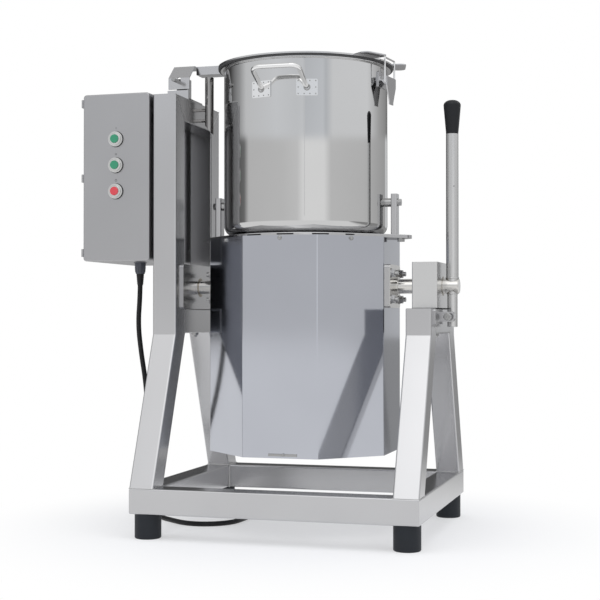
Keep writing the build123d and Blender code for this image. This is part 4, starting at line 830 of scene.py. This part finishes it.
class CUTTER_OT_gland_ribs(bpy.types.Operator):
    """Add the grip ribs and the sealing washer of the cable gland"""

    bl_idname = "cutter.gland_ribs"
    bl_label = "Gland ribs"

    def execute(self, context):
        builder = bmesh.new()
        middle = Vector((*CORD_POINTS[0][:2], 0))
        for rib in range(GLAND_RIBS):
            out = outward(360 / GLAND_RIBS * rib)
            foot, head = (
                middle + out * radius + Vector((0, 0, height))
                for radius, height in (GLAND_RIB_FOOT, GLAND_RIB_HEAD))
            add_bead(builder, foot, head, 2.6 * MM, 1.0 * MM, out)
        washer = facing(middle + Vector((0, 0, GLAND_WASHER[1])), (0, 0, 1))
        add_disc(builder, washer, GLAND_WASHER[0], 1.4 * MM, 0.0)
        new_piece("gland_ribs", builder, "gland", "frame")
        return {"FINISHED"}


# ---------------------------------------------------------------- studio
CAMERA_PLACE = (0.9578, -3.3258, 0.5474)
CAMERA_FORWARD = (-0.28089, 0.95966, 0.01251)
CAMERA_LENS = 79.5
MIDDLE = (0, 0, 0.6)
# Name, place, side and power of each soft light
LIGHTS = [
    ("ceiling_softbox", (0.3, -0.6, 3.4), 2.6, 34),
    ("left_softbox", (-2.6, -2.0, 1.9), 1.6, 14),
    ("right_softbox", (2.8, -1.2, 2.0), 1.6, 14),
]


def add_area_light(name, place, size, power):
    """Soft square light that looks at the machine and doesn't show in its steel."""
    data = bpy.data.lights.new(name, "AREA")
    data.shape = "SQUARE"
    data.size = size
    data.energy = power
    light = bpy.data.objects.new(name, data)
    light.location = place
    light.rotation_euler = (Vector(MIDDLE) - Vector(place)).to_track_quat("-Z", "Y").to_euler()
    light.visible_glossy = False
    bpy.context.scene.collection.objects.link(light)


# Tones round the room: share of a turn from -X through -Y, +X and +Y back to -X, tone, blue tint
LOW_WALL = [
    (0.000, 0.14, 0.0), (0.030, 0.20, 0.0), (0.055, 0.66, 0.0), (0.205, 0.70, 0.0), (0.262, 0.76, 0.0),
    (0.285, 0.96, 0.0), (0.365, 0.96, 0.0), (0.392, 0.70, 0.0), (0.540, 0.66, 0.0), (0.640, 0.50, 0.0),
    (0.692, 0.42, 0.0), (0.7165, 0.48, 0.01), (0.722, 0.74, 0.01), (0.740, 0.70, 0.01),
    (0.762, 0.04, 0.0), (0.910, 0.04, 0.0), (1.000, 0.14, 0.0),
]
HIGH_WALL = [
    (0.000, 0.40, 0.01), (0.040, 0.74, 0.01), (0.180, 0.84, 0.02), (0.262, 0.78, 0.02), (0.284, 0.80, 0.02),
    (0.290, 0.70, 0.03), (0.360, 0.76, 0.03), (0.372, 0.66, 0.03), (0.400, 0.84, 0.01), (0.560, 0.84, 0.01),
    (0.640, 0.48, 0.0), (0.720, 0.28, 0.0), (0.780, 0.06, 0.0), (0.930, 0.06, 0.0), (1.000, 0.40, 0.01),
]
CEILING = [
    (0.000, 0.70, 0.0), (0.100, 0.90, 0.0), (0.186, 1.28, 0.0), (0.222, 2.10, 0.0), (0.300, 1.60, 0.0),
    (0.420, 1.20, 0.0), (0.600, 0.90, 0.0), (0.800, 0.60, 0.0), (1.000, 0.70, 0.0),
]
ROOM_STRENGTH = 2.1
WALL_GAIN = 1.12
FLOOR_TONE = 0.86
PLAIN_ROOM = (0.62, 0.63, 0.65, 1)
# Upward share of a direction where one band of the room gives way to the next
WALL_BREAK = (0.130, 0.138)
CEILING_BREAK = (0.30, 0.60)
FLOOR_BREAK = (-0.02, -0.09)


def room_ramp(tree, factor, stops, gain=1.0):
    """Grey tones of the room along a factor from 0 to 1."""
    ramp = tree.nodes.new("ShaderNodeValToRGB")
    while len(ramp.color_ramp.elements) < len(stops):
        ramp.color_ramp.elements.new(0.5)
    for element, (position, tone, tint) in zip(ramp.color_ramp.elements, stops):
        tone *= gain / ROOM_STRENGTH
        element.position = position
        element.color = (tone * (1 - tint), tone, tone * (1 + 1.5 * tint), 1)
    tree.links.new(factor, ramp.inputs["Fac"])
    return ramp.outputs["Color"]


def plain_background(tree, colour):
    """Background of one colour."""
    background = tree.nodes.new("ShaderNodeBackground")
    background.inputs["Color"].default_value = colour
    return background.outputs["Background"]


def studio_world():
    """White for the camera; for reflections a room with two bands of wall and a bright ceiling."""
    world = bpy.data.worlds.new("studio")
    world.use_nodes = True
    tree = world.node_tree
    tree.nodes.clear()
    coordinates = tree.nodes.new("ShaderNodeTexCoord")
    split = tree.nodes.new("ShaderNodeSeparateXYZ")
    tree.links.new(coordinates.outputs["Generated"], split.inputs["Vector"])
    turn = tree.nodes.new("ShaderNodeMath")
    turn.operation = "ARCTAN2"
    tree.links.new(split.outputs["Y"], turn.inputs[0])
    tree.links.new(split.outputs["X"], turn.inputs[1])
    share = tree.nodes.new("ShaderNodeMapRange")
    share.inputs["From Min"].default_value = -math.pi
    share.inputs["From Max"].default_value = math.pi
    tree.links.new(turn.outputs[0], share.inputs["Value"])
    around = share.outputs["Result"]
    tone = room_ramp(tree, around, LOW_WALL, WALL_GAIN)
    bands = [
        (WALL_BREAK, room_ramp(tree, around, HIGH_WALL, WALL_GAIN)),
        (CEILING_BREAK, room_ramp(tree, around, CEILING)),
        (FLOOR_BREAK, (FLOOR_TONE / ROOM_STRENGTH,) * 3 + (1,)),
    ]
    for (start, end), colour in bands:
        rise = tree.nodes.new("ShaderNodeMapRange")
        rise.interpolation_type = "SMOOTHSTEP"
        rise.inputs["From Min"].default_value = start
        rise.inputs["From Max"].default_value = end
        tree.links.new(split.outputs["Z"], rise.inputs["Value"])
        mix = tree.nodes.new("ShaderNodeMix")
        mix.data_type = "RGBA"
        tree.links.new(rise.outputs["Result"], mix.inputs["Factor"])
        tree.links.new(tone, mix.inputs["A"])
        if isinstance(colour, tuple):
            mix.inputs["B"].default_value = colour
        else:
            tree.links.new(colour, mix.inputs["B"])
        tone = mix.outputs["Result"]
    room = tree.nodes.new("ShaderNodeBackground")
    room.inputs["Strength"].default_value = ROOM_STRENGTH
    tree.links.new(tone, room.inputs["Color"])
    path = tree.nodes.new("ShaderNodeLightPath")
    reflected = tree.nodes.new("ShaderNodeMixShader")
    tree.links.new(path.outputs["Is Glossy Ray"], reflected.inputs["Fac"])
    tree.links.new(plain_background(tree, PLAIN_ROOM), reflected.inputs[1])
    tree.links.new(room.outputs["Background"], reflected.inputs[2])
    seen = tree.nodes.new("ShaderNodeMixShader")
    tree.links.new(path.outputs["Is Camera Ray"], seen.inputs["Fac"])
    tree.links.new(reflected.outputs["Shader"], seen.inputs[1])
    tree.links.new(plain_background(tree, (1, 1, 1, 1)), seen.inputs[2])
    output = tree.nodes.new("ShaderNodeOutputWorld")
    tree.links.new(seen.outputs["Shader"], output.inputs["Surface"])
    bpy.context.scene.world = world


# Distances on the floor in metres over which it turns from matt to glowing white
FLOOR_SIZE = 30
FLOOR_FADE = (0.30, 0.95)
FLOOR_LEAST_GLOW = 0.45
# Towards the rear right, reflections see the floor get darker over these distances
REAR_FADE = (0.5, 2.2)
REAR_TONE = 0.35
REAR_SLANT = 0.3


def floor_material():
    """Pale floor that keeps the shadow and shows as white away from it."""
    material = bpy.data.materials.new("studio_floor")
    material.use_nodes = True
    tree = material.node_tree
    tree.nodes.clear()
    coordinates = tree.nodes.new("ShaderNodeTexCoord")
    distance = tree.nodes.new("ShaderNodeVectorMath")
    distance.operation = "LENGTH"
    tree.links.new(coordinates.outputs["Object"], distance.inputs[0])
    fade = tree.nodes.new("ShaderNodeMapRange")
    fade.interpolation_type = "SMOOTHSTEP"
    fade.inputs["From Min"].default_value, fade.inputs["From Max"].default_value = FLOOR_FADE
    fade.inputs["To Min"].default_value = FLOOR_LEAST_GLOW
    tree.links.new(distance.outputs["Value"], fade.inputs["Value"])
    matt = tree.nodes.new("ShaderNodeBsdfDiffuse")
    matt.inputs["Color"].default_value = (0.92, 0.93, 0.96, 1)
    place = tree.nodes.new("ShaderNodeSeparateXYZ")
    tree.links.new(coordinates.outputs["Object"], place.inputs["Vector"])
    rearward = tree.nodes.new("ShaderNodeMapRange")
    rearward.inputs["From Min"].default_value, rearward.inputs["From Max"].default_value = REAR_FADE
    rearward.inputs["To Min"].default_value = 1.0
    rearward.inputs["To Max"].default_value = REAR_TONE
    slanted = tree.nodes.new("ShaderNodeMath")
    slanted.operation = "MULTIPLY_ADD"
    slanted.inputs[1].default_value = REAR_SLANT
    tree.links.new(place.outputs["X"], slanted.inputs[0])
    tree.links.new(place.outputs["Y"], slanted.inputs[2])
    tree.links.new(slanted.outputs["Value"], rearward.inputs["Value"])
    path = tree.nodes.new("ShaderNodeLightPath")
    strength = tree.nodes.new("ShaderNodeMix")
    strength.data_type = "FLOAT"
    tree.links.new(path.outputs["Is Glossy Ray"], strength.inputs["Factor"])
    strength.inputs["A"].default_value = 1.0
    tree.links.new(rearward.outputs["Result"], strength.inputs["B"])
    glow = tree.nodes.new("ShaderNodeEmission")
    tree.links.new(strength.outputs["Result"], glow.inputs["Strength"])
    mix = tree.nodes.new("ShaderNodeMixShader")
    tree.links.new(fade.outputs["Result"], mix.inputs["Fac"])
    tree.links.new(matt.outputs["BSDF"], mix.inputs[1])
    tree.links.new(glow.outputs["Emission"], mix.inputs[2])
    output = tree.nodes.new("ShaderNodeOutputMaterial")
    tree.links.new(mix.outputs["Shader"], output.inputs["Surface"])
    return material


class CUTTER_OT_studio(bpy.types.Operator):
    """Set the floor, the room, the lights and the camera"""

    bl_idname = "cutter.studio"
    bl_label = "Studio"

    def execute(self, context):
        scene = context.scene
        scene.view_settings.view_transform = "Standard"
        builder = bmesh.new()
        bmesh.ops.create_grid(builder, x_segments=1, y_segments=1, size=FLOOR_SIZE)
        mesh = bpy.data.meshes.new("studio_floor")
        builder.to_mesh(mesh)
        builder.free()
        floor = bpy.data.objects.new("studio_floor", mesh)
        scene.collection.objects.link(floor)
        mesh.materials.append(floor_material())
        studio_world()
        for light in LIGHTS:
            add_area_light(*light)
        data = bpy.data.cameras.new("product_camera")
        data.lens = CAMERA_LENS
        data.sensor_width = 36
        data.clip_end = 60
        camera = bpy.data.objects.new("product_camera", data)
        camera.location = CAMERA_PLACE
        camera.rotation_euler = Vector(CAMERA_FORWARD).to_track_quat("-Z", "Y").to_euler()
        scene.collection.objects.link(camera)
        scene.camera = camera
        return {"FINISHED"}


class CUTTER_PT_panel(bpy.types.Panel):
    """Buttons for every piece of the bowl cutter"""

    bl_idname = "CUTTER_PT_panel"
    bl_label = "Bowl Cutter"
    bl_space_type = "VIEW_3D"
    bl_region_type = "UI"
    bl_category = "Bowl Cutter"

    def draw(self, context):
        for operator in OPERATORS:
            self.layout.operator(operator.bl_idname)


OPERATORS = [
    CUTTER_OT_node_finishes,
    CUTTER_OT_mains_cord,
    CUTTER_OT_frame_welds,
    CUTTER_OT_handle_welds,
    CUTTER_OT_bowl_seam,
    CUTTER_OT_casing_trim,
    CUTTER_OT_plate_slots,
    CUTTER_OT_latch_trim,
    CUTTER_OT_lever_trim,
    CUTTER_OT_button_marks,
    CUTTER_OT_gland_ribs,
    CUTTER_OT_studio,
]
CLASSES = [CutterSizes, CutterColours, *OPERATORS, CUTTER_PT_panel]


def register():
    """Make the properties, operators and panel known."""
    for entry in CLASSES:
        bpy.utils.register_class(entry)
    bpy.types.Scene.cutter_sizes = PointerProperty(type=CutterSizes)
    bpy.types.Scene.cutter_colours = PointerProperty(type=CutterColours)


def unregister():
    """Take them away again."""
    del bpy.types.Scene.cutter_sizes
    del bpy.types.Scene.cutter_colours
    for entry in reversed(CLASSES):
        bpy.utils.unregister_class(entry)


def main():
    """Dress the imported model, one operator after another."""
    register()
    for operator in OPERATORS:
        group, name = operator.bl_idname.split(".")
        getattr(getattr(bpy.ops, group), name)()


if __name__ == "__main__":
    main()
